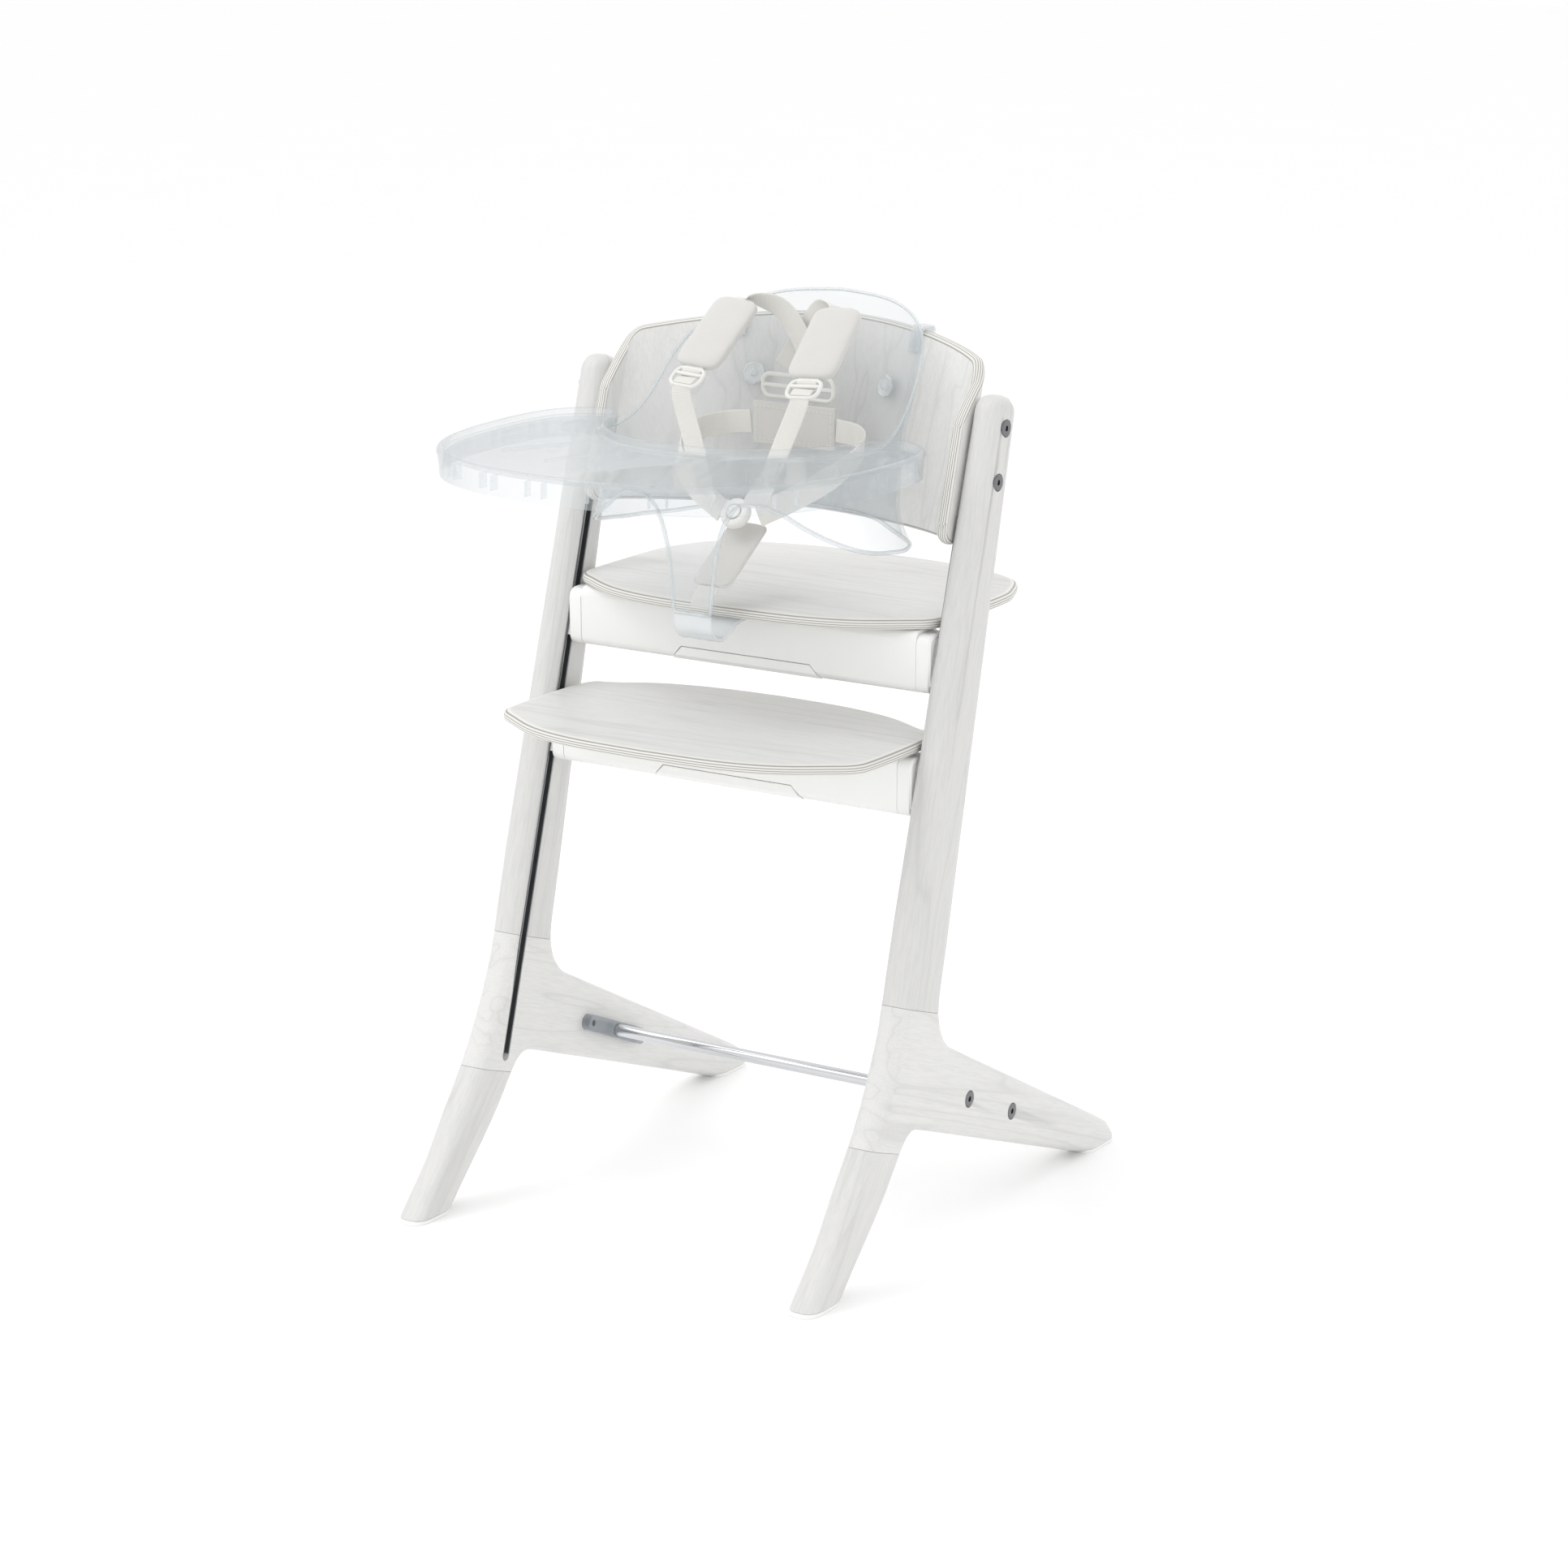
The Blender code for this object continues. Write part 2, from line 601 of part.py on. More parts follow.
def lever_recess(front, bottom):
    """Pocket for the lever: it runs out of the bar's front and underside."""
    drop, clearance = 0.013, 0.0006
    low, high = bottom - drop, bottom + LEVER_HEIGHT + clearance
    slope = LEVER_TAPER / LEVER_HEIGHT
    wide = LEVER_HALF_WIDTH + clearance * 1.6 + slope * drop
    narrow = LEVER_HALF_WIDTH + clearance * 1.6 - slope * (LEVER_HEIGHT + clearance)
    far = front + LEVER_DEPTH + LEVER_TRAVEL + 0.001
    outline = [(-wide, low), (wide, low), (narrow, high), (-narrow, high)]
    return loft([[(x, y, z) for x, z in outline] for y in (front - 0.01, far)])


def make_seat():
    outline = board_outline(-0.043, 0.258, 0.030, 0.160)
    make_board("seat_board", outline, SEAT_BOTTOM + CROSSBAR_HEIGHT)
    make_carriage("seat", SEAT_BOTTOM)
    path = smooth_curve(scaled([
        (0, -87, 599.2), (0, -86, 586), (0, -79, 577), (0, -67, 573.5), (0, -54, 577.5),
        (0, -44, 584), (0, -30, 586.4), (0, -16, 586.4)]), 2)
    ribbon("crotch_clip", path, ((1, 0, 0), (1, 0, 0)), 0.042, 0.0036, "clear_plastic")


def make_footrest():
    outline = board_outline(-0.178, 0.078, -0.105, 0.010)
    make_board("footrest_board", outline, FOOTREST_BOTTOM + CROSSBAR_HEIGHT)
    make_carriage("footrest", FOOTREST_BOTTOM)


# ---------------------------------------------------------------- clear shell

def interpolate(table, value):
    """Smooth curve through a short list of (input, output) pairs, without overshoot."""
    last = len(table) - 1
    value = min(max(value, table[0][0]), table[-1][0])
    i = max(k for k in range(last) if table[k][0] <= value)

    def secant(k):
        k = min(max(k, 0), last - 1)
        return (table[k + 1][1] - table[k][1]) / (table[k + 1][0] - table[k][0])

    def slope(k):
        before, after = secant(k - 1), secant(k)
        return 0 if before * after <= 0 else 2 * before * after / (before + after)

    span = table[i + 1][0] - table[i][0]
    t = (value - table[i][0]) / span
    return ((2 * t ** 3 - 3 * t * t + 1) * table[i][1] + (3 * t * t - 2 * t ** 3) * table[i + 1][1]
            + (t ** 3 - 2 * t * t + t) * span * slope(i) + (t ** 3 - t * t) * span * slope(i + 1))


def shell_point(angle, z):
    """Middle of the shell's wall; angle 0 is the front centre, 180 the back centre."""
    rise = max(0.0, z - 0.76)
    half = 0.145 + 0.20 * rise
    front = 0.088 + 0.24 * max(0.0, z - 0.70)
    back = 0.143 + 0.30 * (z - 0.75)
    turn = math.radians(angle)
    power = 2 / SHELL_POWER
    x = half * math.copysign(abs(math.sin(turn)) ** power, math.sin(turn))
    reach = front if math.cos(turn) > 0 else back
    y = -reach * math.copysign(abs(math.cos(turn)) ** power, math.cos(turn))
    low = min(1.0, max(0.0, (0.698 - z) / 0.044))
    sides = min(1.0, max(0.0, abs(math.sin(turn)) * 2.6 - 1.3))
    flare = 0.017 * low * low * sides
    outward = Vector((x, y)).normalized() * flare
    return Vector((x + outward.x, y + outward.y, z))


SHELL_TOP = ((0, 0.7535), (90, 0.7535), (95, 0.757), (100, 0.763), (106, 0.773), (112, 0.788),
             (118, 0.806), (125, 0.824), (132, 0.837), (140, 0.848), (150, 0.859), (165, 0.869),
             (180, 0.873))
SHELL_SIDE_BOTTOM = ((25, 0.711), (35, 0.702), (45, 0.690), (60, 0.676), (75, 0.666), (90, 0.660),
                     (105, 0.656), (120, 0.656), (135, 0.660), (150, 0.668), (180, 0.670))
CROTCH_EDGE = ((0.0, POST_BOTTOM), (0.0195, POST_BOTTOM), (0.0215, 0.610), (0.024, 0.640),
               (0.030, 0.672), (0.040, 0.696), (0.054, 0.709), (0.068, 0.711))


def shell_bottom(angle):
    if angle >= 27:
        return interpolate(SHELL_SIDE_BOTTOM, angle)
    return interpolate(CROTCH_EDGE, abs(shell_point(angle, 0.68).x))


def shell_angles():
    """Columns of the shell's wall for its right half, closer together at the crotch post."""
    power = SHELL_POWER / 2
    front = [math.degrees(math.asin((x * MM / 0.145) ** power))
             for x in (0, 10, 19.5, 21.5, 24, 27, 31, 36, 43, 52)]
    return front + list(range(27, 180, 7))[:-1] + [173]


def make_shell():
    rows = 8
    right = shell_angles()
    angles = right + [180] + [360 - a for a in right[:0:-1]]
    columns = []
    for angle in angles:
        even = angle if angle <= 180 else 360 - angle
        low, high = shell_bottom(even), interpolate(SHELL_TOP, even)
        columns.append([shell_point(angle, low + (high - low) * k / rows)
                        for k in range(rows + 1)])
    rings = []
    count = len(columns)
    for i, column in enumerate(columns):
        before, after = columns[i - 1], columns[(i + 1) % count]
        outer, inner = [], []
        for k, point in enumerate(column):
            along = after[k] - before[k]
            up = column[min(k + 1, rows)] - column[max(k - 1, 0)]
            along.z *= 0.2
            normal = along.cross(up).normalized() * (SHELL_WALL / 2)
            outer.append(point + normal)
            inner.append(point - normal)
        rings.append(outer + inner[::-1])
    add_object("baby_shell", loft(rings, closed=True), "clear_plastic", 50)


def shell_normal(x_sign):
    """Inward normal of the shell's back at a knob, and the wall's middle there."""
    angle = 180 - x_sign * math.degrees(math.asin((KNOB_X / 0.151) ** (SHELL_POWER / 2)))
    here = shell_point(angle, KNOB_Z)
    side = shell_point(angle + 1, KNOB_Z) - shell_point(angle - 1, KNOB_Z)
    up = shell_point(angle, KNOB_Z + 0.002) - here
    normal = side.cross(up).normalized()
    if normal.y > 0:
        normal = -normal
    return here, normal


def make_knobs():
    """Two turn knobs that hold the shell to the backrest."""
    for label, side in (("left", -1), ("right", 1)):
        here, normal = shell_normal(side)
        start = here + normal * (SHELL_WALL / 2 + 0.0010)
        profile = ((0.0, 0.0105), (0.001, KNOB_RADIUS), (0.0045, KNOB_RADIUS), (0.006, 0.0105))
        body = turned(profile, start, normal, 20)
        knob = add_object(f"{label}_knob", body, "clear_plastic")
        turn = normal.to_track_quat("Z", "Y").to_matrix()
        grip = bmesh.new()
        bmesh.ops.create_cube(grip, size=1.0)
        bmesh.ops.scale(grip, verts=grip.verts, vec=(0.016, 0.004, 0.006))
        place = Matrix.Translation(start + normal * 0.0065) @ turn.to_4x4()
        bmesh.ops.transform(grip, matrix=place, verts=grip.verts)
        join = knob.modifiers.new("grip", "BOOLEAN")
        join.operation = "UNION"
        join.solver = "EXACT"
        join.object = cutter(f"{label}_knob_grip", grip)


def make_hooks():
    """Clear hooks that hold the shell over the backrest's top edge."""
    for label, side in (("left", -1), ("right", 1)):
        share = side * 0.36
        spot = back_plan(share)
        top = back_top(share)
        lean = BACK_LEAN * (top - BACK_Z)
        ahead = back_plan(share + 0.01) - back_plan(share - 0.01)
        normal = Vector((-ahead.y, ahead.x)).normalized()
        half = PLY_THICKNESS / 2 + 0.0026
        middle = Vector((spot.x, spot.y + lean))
        path = []
        for out, z in ((-half, top - 0.020), (-half, top - 0.001), (-half + 0.002, top + 0.0034),
                       (half - 0.002, top + 0.0034), (half, top - 0.001), (half, top - 0.014)):
            p = middle + normal * out
            path.append((p.x, p.y + BACK_LEAN * (z - top), z))
        across = (normal.y, -normal.x, 0)
        ribbon(f"{label}_hook", path, (across, across), 0.016, 0.0022, "clear_plastic")


# ---------------------------------------------------------------- tray

def tray_outline():
    """Kidney-shaped tray from above, with the cut-out for the child as part of the outline."""
    right = smooth_curve(scaled([
        (0, -308), (56, -303), (106, -290), (150, -268), (183, -237), (205, -196), (216, -150),
        (220, -100), (219, -55), (211, -18), (194, 5), (174, 16), (158, 17), (147, 8),
        (137, -12), (126, -38), (108, -66), (80, -91), (42, -106), (0, -111)]), 2)
    left = [(-x, y) for x, y in right[-2:0:-1]]
    return right + left


def make_tray():
    """Deck with a raised rim and a skirt; the skirt is shallow along the cut-out."""
    outline = tray_outline()
    skirts = []
    for x, y in outline:
        inner_edge = y > -0.115 and abs(x) < 0.150 and (x / 0.155) ** 2 + (y / 0.125) ** 2 < 1.02
        skirts.append(0.7562 if inner_edge else TRAY_SKIRT)
    layers = ((0.0075, TRAY_UNDER, 0), (0.0070, None, 1), (0.0045, None, 1), (0.0012, 0.7585, 0),
              (0.0, 0.7615, 0), (0.0014, TRAY_TOP, 0), (0.0046, TRAY_TOP, 0),
              (0.0075, TRAY_DECK, 0))
    rings = []
    for distance, height, skirt in layers:
        layer = inset(outline, distance)
        rings.append([(x, y, low if skirt else height) for (x, y), low in zip(layer, skirts)])
    add_object("tray", loft(rings), "clear_plastic", 50)
    for label, side in (("left", -1), ("right", 1)):
        rounded_box(f"{label}_tray_release", (0.018, 0.026, 0.009), (side * 0.177, -0.022, 0.7515),
                    "clear_plastic", 0.002)


# ---------------------------------------------------------------- harness

def pad_axes(side):
    """Matrix whose columns are a shoulder pad's width, length and thickness directions."""
    top = Vector((side * PAD_TOP[0], *PAD_TOP[1:]))
    foot = Vector((side * PAD_FOOT[0], *PAD_FOOT[1:]))
    length = (foot - top).normalized()
    width = Vector((1, 0, 0))
    width = (width - length * width.dot(length)).normalized()
    return top, foot, Matrix((width, length, width.cross(length))).transposed()


def make_shoulder(label, side):
    top, foot, axes = pad_axes(side)
    length = (foot - top).length
    down = axes.col[1]
    rounded_box(f"{label}_shoulder_pad", (0.050, length, 0.013), (top + foot) / 2, "padding",
                0.0045, 3, axes)
    lock = foot + down * 0.014
    rounded_box(f"{label}_ladder_lock", (0.036, 0.022, 0.0045), lock, "cream_plastic", 0.0015, 2,
                axes)
    depth = 0.0035 * side
    path = smooth_curve([
        top - down * 0.0035, top - down * 0.012 + Vector((-side * 0.004, 0, -0.001)),
        Vector((side * 0.020, 0.1030 + depth, 0.866)), Vector((0, 0.1045 + depth, 0.838)),
        Vector((-side * 0.018, 0.0990 + depth, 0.806))], 4)
    ribbon(f"{label}_back_strap", path, ((1, 0, 0), (1, 0, -side * 0.6)), WEBBING_WIDTH * 0.9,
           WEBBING_THICKNESS, "webbing")
    start = lock + down * 0.0135
    path = smooth_curve([
        start, start + Vector((-side * 0.002, -0.003, -0.012)), (side * 0.049, -0.011, 0.748),
        (side * 0.037, -0.016, 0.716), (side * 0.021, -0.0155, 0.6935)], 3)
    ribbon(f"{label}_front_strap", path, ((1, 0, 0), (0.62, 0, side * 0.78)), WEBBING_WIDTH * 0.84,
           WEBBING_THICKNESS, "webbing")


def make_belt(label, side):
    """Waist belt from the back block to the buckle."""
    path = smooth_curve([
        (side * 0.0485, 0.0905, 0.752), (side * 0.076, 0.086, 0.749), (side * 0.096, 0.060, 0.742),
        (side * 0.090, 0.026, 0.725), (side * 0.058, 0.004, 0.702), (side * 0.0200, -0.0040, 0.682)], 3)
    ribbon(f"{label}_waist_belt", path, ((0, 0, 1), (0.3, 0.2, 1)), WEBBING_WIDTH * 0.9,
           WEBBING_THICKNESS, "webbing")


def make_harness():
    for label, side in (("left", -1), ("right", 1)):
        make_shoulder(label, side)
        make_belt(label, side)
    rounded_box("back_adjuster", (0.084, 0.005, 0.026), (0, 0.0985, 0.788), "cream_plastic", 0.0015)
    rounded_box("back_block", (0.094, 0.0045, 0.042), (0, 0.092, 0.7520), "webbing", 0.0015)
    axis = Vector(BUCKLE_AXIS)
    centre = Vector(BUCKLE)
    profile = ((-0.005, 0.0135), (-0.0035, 0.015), (0.0035, 0.015), (0.005, 0.0135))
    buckle = add_object("buckle", turned(profile, centre, axis, 24), "cream_plastic")
    hole = cylinder(0.0078, centre + axis * 0.0006, centre + axis * 0.01, 20)
    cut(buckle, cutter("buckle_hole", hole))
    button = turned(((0.0026, 0.0072), (0.0052, 0.0072), (0.0062, 0.0062)), centre, axis, 20)
    add_object("buckle_button", button, "cream_plastic")
    slope = Vector((0, 0.83, 0.555)).normalized()
    pad = Vector((0, -0.022, 0.6450))
    lay = Matrix((Vector((1, 0, 0)), slope, Vector((1, 0, 0)).cross(slope))).transposed()
    rounded_box("crotch_pad", (0.044, 0.086, 0.009), pad, "padding", 0.0035, 3, lay)
    foot = pad - slope * 0.0435
    ribbon("crotch_strap", [foot, foot - slope * 0.012 + Vector((0, -0.001, -0.001)),
                            foot - slope * 0.016 + Vector((0, -0.003, -0.008))],
           ((1, 0, 0), (1, 0, 0)), 0.023, WEBBING_THICKNESS, "webbing")


def named(*starts):
    return [item for item in bpy.data.objects if item.name.startswith(starts)]


def place_joints():
    """Hang everything from the origin, and each moving piece from a point on its own axis."""
    root = carry("origin", (0, -Y_CENTRE, 0), list(bpy.data.objects))
    carry("seat_joint", slot_point(SEAT_BOTTOM, 0), named("seat_", "crotch_clip"), root)
    carry("footrest_joint", slot_point(FOOTREST_BOTTOM, 0), named("footrest_"), root)
    carry("tray_joint", (0, TRAY_CENTRE_Y, TRAY_TOP), named("tray", "left_tray", "right_tray"), root)
    carry("button_joint", BUCKLE, named("buckle_button"), root)
    for label, side in (("left", -1), ("right", 1)):
        carry(f"{label}_knob_joint", shell_normal(side)[0], named(f"{label}_knob"), root)


def main():
    clear_scene()
    for label, side in (("left", -1), ("right", 1)):
        make_side_frame(label, side)
        make_track(label, side)
        for number, (y, z) in enumerate(BACKREST_BOLTS, 1):
            make_bolt(f"{label}_backrest_bolt_{number}", side, y, z, 0.1985)
        for number, (y, z) in enumerate(STRETCHER_BOLTS, 1):
            make_bolt(f"{label}_stretcher_bolt_{number}", side, y, z, 0.1990)
    make_stretcher()
    make_backrest()
    make_seat()
    make_footrest()
    make_shell()
    make_knobs()
    make_hooks()
    make_tray()
    make_harness()
    place_joints()


main()
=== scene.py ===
"""Looks of the baby high chair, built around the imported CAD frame. Metres, +Z up, front -Y."""

import math

import bmesh
import bpy
from mathutils import Matrix, Vector


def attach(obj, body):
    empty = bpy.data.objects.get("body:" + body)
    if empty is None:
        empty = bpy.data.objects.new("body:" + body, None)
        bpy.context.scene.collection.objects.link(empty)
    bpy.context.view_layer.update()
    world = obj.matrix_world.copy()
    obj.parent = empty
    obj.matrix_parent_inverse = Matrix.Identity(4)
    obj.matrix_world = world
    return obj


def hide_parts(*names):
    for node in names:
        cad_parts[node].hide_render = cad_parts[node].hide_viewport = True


SHIFT = Vector((0.0, -0.0115, 0.0))  # the drawing's origin in the row frame
SIDES = (("left", -1), ("right", 1))

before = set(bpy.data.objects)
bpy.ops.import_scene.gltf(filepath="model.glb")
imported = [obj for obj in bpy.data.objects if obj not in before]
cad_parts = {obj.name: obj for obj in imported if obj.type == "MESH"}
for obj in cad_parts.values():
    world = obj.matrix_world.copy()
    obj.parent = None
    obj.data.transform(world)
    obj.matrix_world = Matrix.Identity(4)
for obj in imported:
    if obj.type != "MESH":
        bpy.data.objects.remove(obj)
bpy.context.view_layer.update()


# ---------------------------------------------------------------- materials

class Graph:
    """A node material with a few short-cuts."""

    def __init__(self, name, colour, roughness, **inputs):
        self.material = bpy.data.materials.new(name)
        self.material.use_nodes = True
        self.nodes = self.material.node_tree.nodes
        self.links = self.material.node_tree.links
        self.shader = self.nodes["Principled BSDF"]
        self.set("Base Color", (*colour, 1.0))
        self.set("Roughness", roughness)
        for key, value in inputs.items():
            self.set(key.replace("_", " "), value)

    def set(self, socket, value):
        self.shader.inputs[socket].default_value = value

    def add(self, kind, links=(), **values):
        node = self.nodes.new("ShaderNode" + kind)
        for key, value in values.items():
            if hasattr(node, key):
                setattr(node, key, value)
            else:
                node.inputs[key].default_value = value
        for socket, source in dict(links).items():
            self.links.new(source, node.inputs[socket])
        return node

    def join(self, source, socket):
        self.links.new(source, self.shader.inputs[socket])

    def scaled_coords(self, turn, scale):
        """Object coordinates, turned about X first and then scaled."""
        place = self.add("TexCoord").outputs["Object"]
        turned = self.add("Mapping", {"Vector": place}, Rotation=(turn, 0, 0))
        return self.add("Mapping", {"Vector": turned.outputs[0]}, Scale=scale).outputs[0]

    def noise(self, vector, scale, detail=3.0, roughness=0.55, distortion=0.0):
        node = self.add("TexNoise", {"Vector": vector}, Scale=scale, Detail=detail,
                        Roughness=roughness, Distortion=distortion)
        return node.outputs["Fac"]

    def math(self, operation, first, second=None):
        node = self.nodes.new("ShaderNodeMath")
        node.operation = operation
        for i, value in enumerate((first, second)):
            if value is None:
                continue
            if isinstance(value, (int, float)):
                node.inputs[i].default_value = value
            else:
                self.links.new(value, node.inputs[i])
        return node.outputs[0]

    def ramp(self, factor, stops):
        node = self.add("ValToRGB", {"Fac": factor})
        elements = node.color_ramp.elements
        while len(elements) < len(stops):
            elements.new(0.5)
        for element, (position, colour) in zip(elements, stops):
            element.position = position
            element.color = (*colour, 1.0) if len(colour) == 3 else colour
        return node.outputs[0]

    def mix(self, factor, first, second, blend="MIX"):
        node = self.nodes.new("ShaderNodeMix")
        node.data_type = "RGBA"
        node.blend_type = blend
        for socket, value in ((0, factor), (6, first), (7, second)):
            if isinstance(value, (int, float, tuple)):
                node.inputs[socket].default_value = value
            else:
                self.links.new(value, node.inputs[socket])
        return node.outputs[2]

    def bump(self, height, strength, distance):
        node = self.add("Bump", {"Height": height}, Strength=strength, Distance=distance)
        self.join(node.outputs[0], "Normal")


def grey(value):
    return (value, value * 0.995, value * 0.975)


def wood(name, turn, along, layered=False, painted_light_scale=1.0):
    """White-stained birch: fine pores along the grain, soft figure, and layers on edges. The last
    argument scales its brightness as painted light and shade.
    """
    g = Graph(name, grey(0.80), 0.46, Coat_Weight=0.12, Coat_Roughness=0.35)
    stretch = {"x": (1, 14, 14), "z": (14, 14, 1)}[along]
    coords = g.scaled_coords(turn, stretch)
    figure = g.noise(coords, 1.6, 2.0, 0.5, 0.3)
    rings = g.math("PINGPONG", g.math("MULTIPLY", figure, 11.0), 1.0)
    rings = g.ramp(rings, ((0.0, (0.0, 0.0, 0.0)), (0.16, (0.75, 0.75, 0.75)), (0.6, (1, 1, 1))))
    pores = g.ramp(g.noise(coords, 38.0, 4.0, 0.7), ((0.38, (0.0, 0.0, 0.0)), (0.58, (1, 1, 1))))
    cloud = g.noise(g.scaled_coords(turn, (9, 9, 9)), 1.0, 3.0)
    # the greys below are scaled by the painted light and shade factor
    colour = g.mix(rings, (*grey(0.69 * painted_light_scale), 1), (*grey(0.80 * painted_light_scale), 1))
    colour = g.mix(g.math("MULTIPLY", g.math("SUBTRACT", 1.0, pores), 0.36), colour,
                   (*grey(0.62 * painted_light_scale), 1))
    colour = g.mix(g.math("MULTIPLY", cloud, 0.35), colour, (*grey(0.86 * painted_light_scale), 1))
    height = g.math("MULTIPLY", pores, 0.5)
    if layered:
        layer = g.add("Attribute", attribute_name="layer").outputs["Fac"]
        edge = g.add("Attribute", attribute_name="edge").outputs["Fac"]
        plies = g.math("PINGPONG", layer, 1.0)
        lines = g.ramp(plies, ((0.25, (0.36, 0.345, 0.315)), (0.55, (0.80, 0.79, 0.76))))
        colour = g.mix(edge, colour, lines)
        height = g.math("ADD", height, g.math("MULTIPLY", g.math("MULTIPLY", plies, edge), 2.0))
    g.join(colour, "Base Color")
    g.join(g.math("ADD", 0.40, g.math("MULTIPLY", cloud, 0.16)), "Roughness")
    g.bump(height, 0.22, 0.0004)
    return g.material


def moulded(name, colour, roughness, grain=900.0, strength=0.06, **inputs):
    """Moulded plastic or plated metal with a faint surface texture."""
    g = Graph(name, colour, roughness, **inputs)
    coords = g.scaled_coords(0.0, (1, 1, 1))
    texture = g.noise(coords, grain, 2.0)
    shade = g.noise(coords, 22.0, 2.0)
    dark = tuple(value * 0.965 for value in colour)
    g.join(g.mix(shade, (*dark, 1), (*colour, 1)), "Base Color")
    g.join(g.math("ADD", roughness - 0.04, g.math("MULTIPLY", shade, 0.08)), "Roughness")
    g.bump(texture, strength, 0.0003)
    return g.material


def clear(name, centre, edge, thin, thick, roughness=0.10):
    """See-through plastic: denser where the eye looks along its wall, its colour blended by facing from
    the centre to the edge colour; on the smoke and tray plastics that blend paints reflected light.
    """
    g = Graph(name, centre, roughness, Coat_Weight=0.6, Coat_Roughness=0.05, IOR=1.5)
    facing = g.add("LayerWeight", Blend=0.35).outputs["Facing"]
    wave = g.noise(g.scaled_coords(0.0, (1, 1, 1)), 14.0, 2.0)
    g.join(g.mix(g.math("POWER", facing, 1.4), (*centre, 1), (*edge, 1)), "Base Color")
    spread = g.math("MULTIPLY", g.math("POWER", facing, 2.0), thick - thin)
    g.join(g.math("ADD", g.math("ADD", spread, thin - 0.02), g.math("MULTIPLY", wave, 0.04)),
           "Alpha")
    g.join(g.math("ADD", roughness - 0.03, g.math("MULTIPLY", wave, 0.06)), "Roughness")
    g.material.surface_render_method = "DITHERED"
    return g.material


def fabric(name, colour, across=1100.0, along=1100.0):
    """Fine plain weave seen from all three directions, with a soft sheen."""
    g = Graph(name, colour, 0.85, Sheen_Weight=0.35, Sheen_Roughness=0.5)
    coords = g.scaled_coords(0.0, (1, 1, 1))
    warp = g.add("TexWave", {"Vector": coords}, bands_direction="X", Scale=across / 6.28,
                 Distortion=0.6, Detail=1.0).outputs["Fac"]
    weft = g.add("TexWave", {"Vector": coords}, bands_direction="Z", Scale=along / 6.28,
                 Distortion=0.6, Detail=1.0).outputs["Fac"]
    weave = g.math("MAXIMUM", warp, weft)
    cloud = g.noise(coords, 60.0, 3.0)
    low = tuple(value * 0.93 for value in colour)
    g.join(g.mix(g.math("MULTIPLY", g.math("ADD", weave, cloud), 0.5), (*low, 1), (*colour, 1)),
           "Base Color")
    g.bump(g.math("ADD", weave, cloud), 0.22, 0.0003)
    return g.material


def webbing_material():
    """Ribs across the strap, a firm selvedge on both sides."""
    g = Graph("webbing", (0.76, 0.75, 0.71), 0.8, Sheen_Weight=0.3, Sheen_Roughness=0.5)
    place = g.add("UVMap", uv_map="strap").outputs[0]
    split = g.add("SeparateXYZ", {"Vector": place})
    ribs = g.math("PINGPONG", g.math("MULTIPLY", split.outputs[1], 1 / 0.0008), 1.0)
    threads = g.math("PINGPONG", g.math("MULTIPLY", split.outputs[0], 1 / 0.0006), 1.0)
    border = g.math("GREATER_THAN", g.math("ABSOLUTE", split.outputs[0]), 0.0098)
    weave = g.math("ADD", g.math("MULTIPLY", ribs, 0.8), g.math("MULTIPLY", threads, 0.25))
    colour = g.mix(weave, (0.66, 0.65, 0.61, 1), (0.80, 0.79, 0.755, 1))
    colour = g.mix(g.math("MULTIPLY", border, 0.4), colour, (0.82, 0.81, 0.78, 1))
    g.join(colour, "Base Color")
    g.bump(weave, 0.5, 0.0004)
    return g.material


LEAN = math.atan(0.295)
FINISH = {
    # The birch copies below differ in brightness as painted light and shade: posts, legs and boards are
    # darkened where they catch more lamp light, and the backrest, in the shell's shade, is brightened.
    "post": wood("birch_post", LEAN, "z", painted_light_scale=0.84),
    "rear_leg": wood("birch_rear_leg", math.radians(-69.6), "z", painted_light_scale=0.93),
    "front_leg": wood("birch_front_leg", math.radians(42), "z", painted_light_scale=0.88),
    "board": wood("birch_board", 0.0, "x", True, 0.93),
    "back": wood("birch_back", 0.0, "z", True, 1.02),
    "white": moulded("white_plastic", (0.90, 0.90, 0.885), 0.38, Coat_Weight=0.1),
    "track": moulded("track_metal", (0.24, 0.25, 0.26), 0.34, 500, 0.03, Metallic=0.85),
    "chrome": moulded("chrome", (0.66, 0.67, 0.69), 0.10, 300, 0.01, Metallic=1.0),
    "bolt": moulded("bolt_steel", (0.20, 0.20, 0.21), 0.20, 300, 0.01, Metallic=1.0),
    # smoke: its pale edge colour is a painted reflection at grazing angles; tray: its pale centre
    # colour is a painted reflection on the skirt, which faces the eye
    "smoke": clear("smoke_plastic", (0.30, 0.33, 0.36), (0.62, 0.66, 0.69), 0.55, 0.9),
    "clear": clear("clear_plastic", (0.66, 0.715, 0.745), (0.46, 0.51, 0.54), 0.09, 0.55),
    "bead": clear("bead_plastic", (0.78, 0.83, 0.86), (0.36, 0.41, 0.44), 0.30, 0.80),
    "tray": clear("tray_plastic", (0.72, 0.77, 0.80), (0.24, 0.27, 0.285), 0.13, 0.95),
    "web": clear("web_plastic", (0.86, 0.90, 0.92), (0.72, 0.77, 0.80), 0.22, 0.60),
    "rib": clear("rib_plastic", (0.88, 0.91, 0.93), (0.50, 0.55, 0.58), 0.40, 0.80),
    "webbing": webbing_material(),
    "cloth": fabric("pad_cloth", (0.665, 0.655, 0.63)),
    "cream": moulded("cream_plastic", (0.80, 0.795, 0.765), 0.35),
}


# ---------------------------------------------------------------- mesh helpers

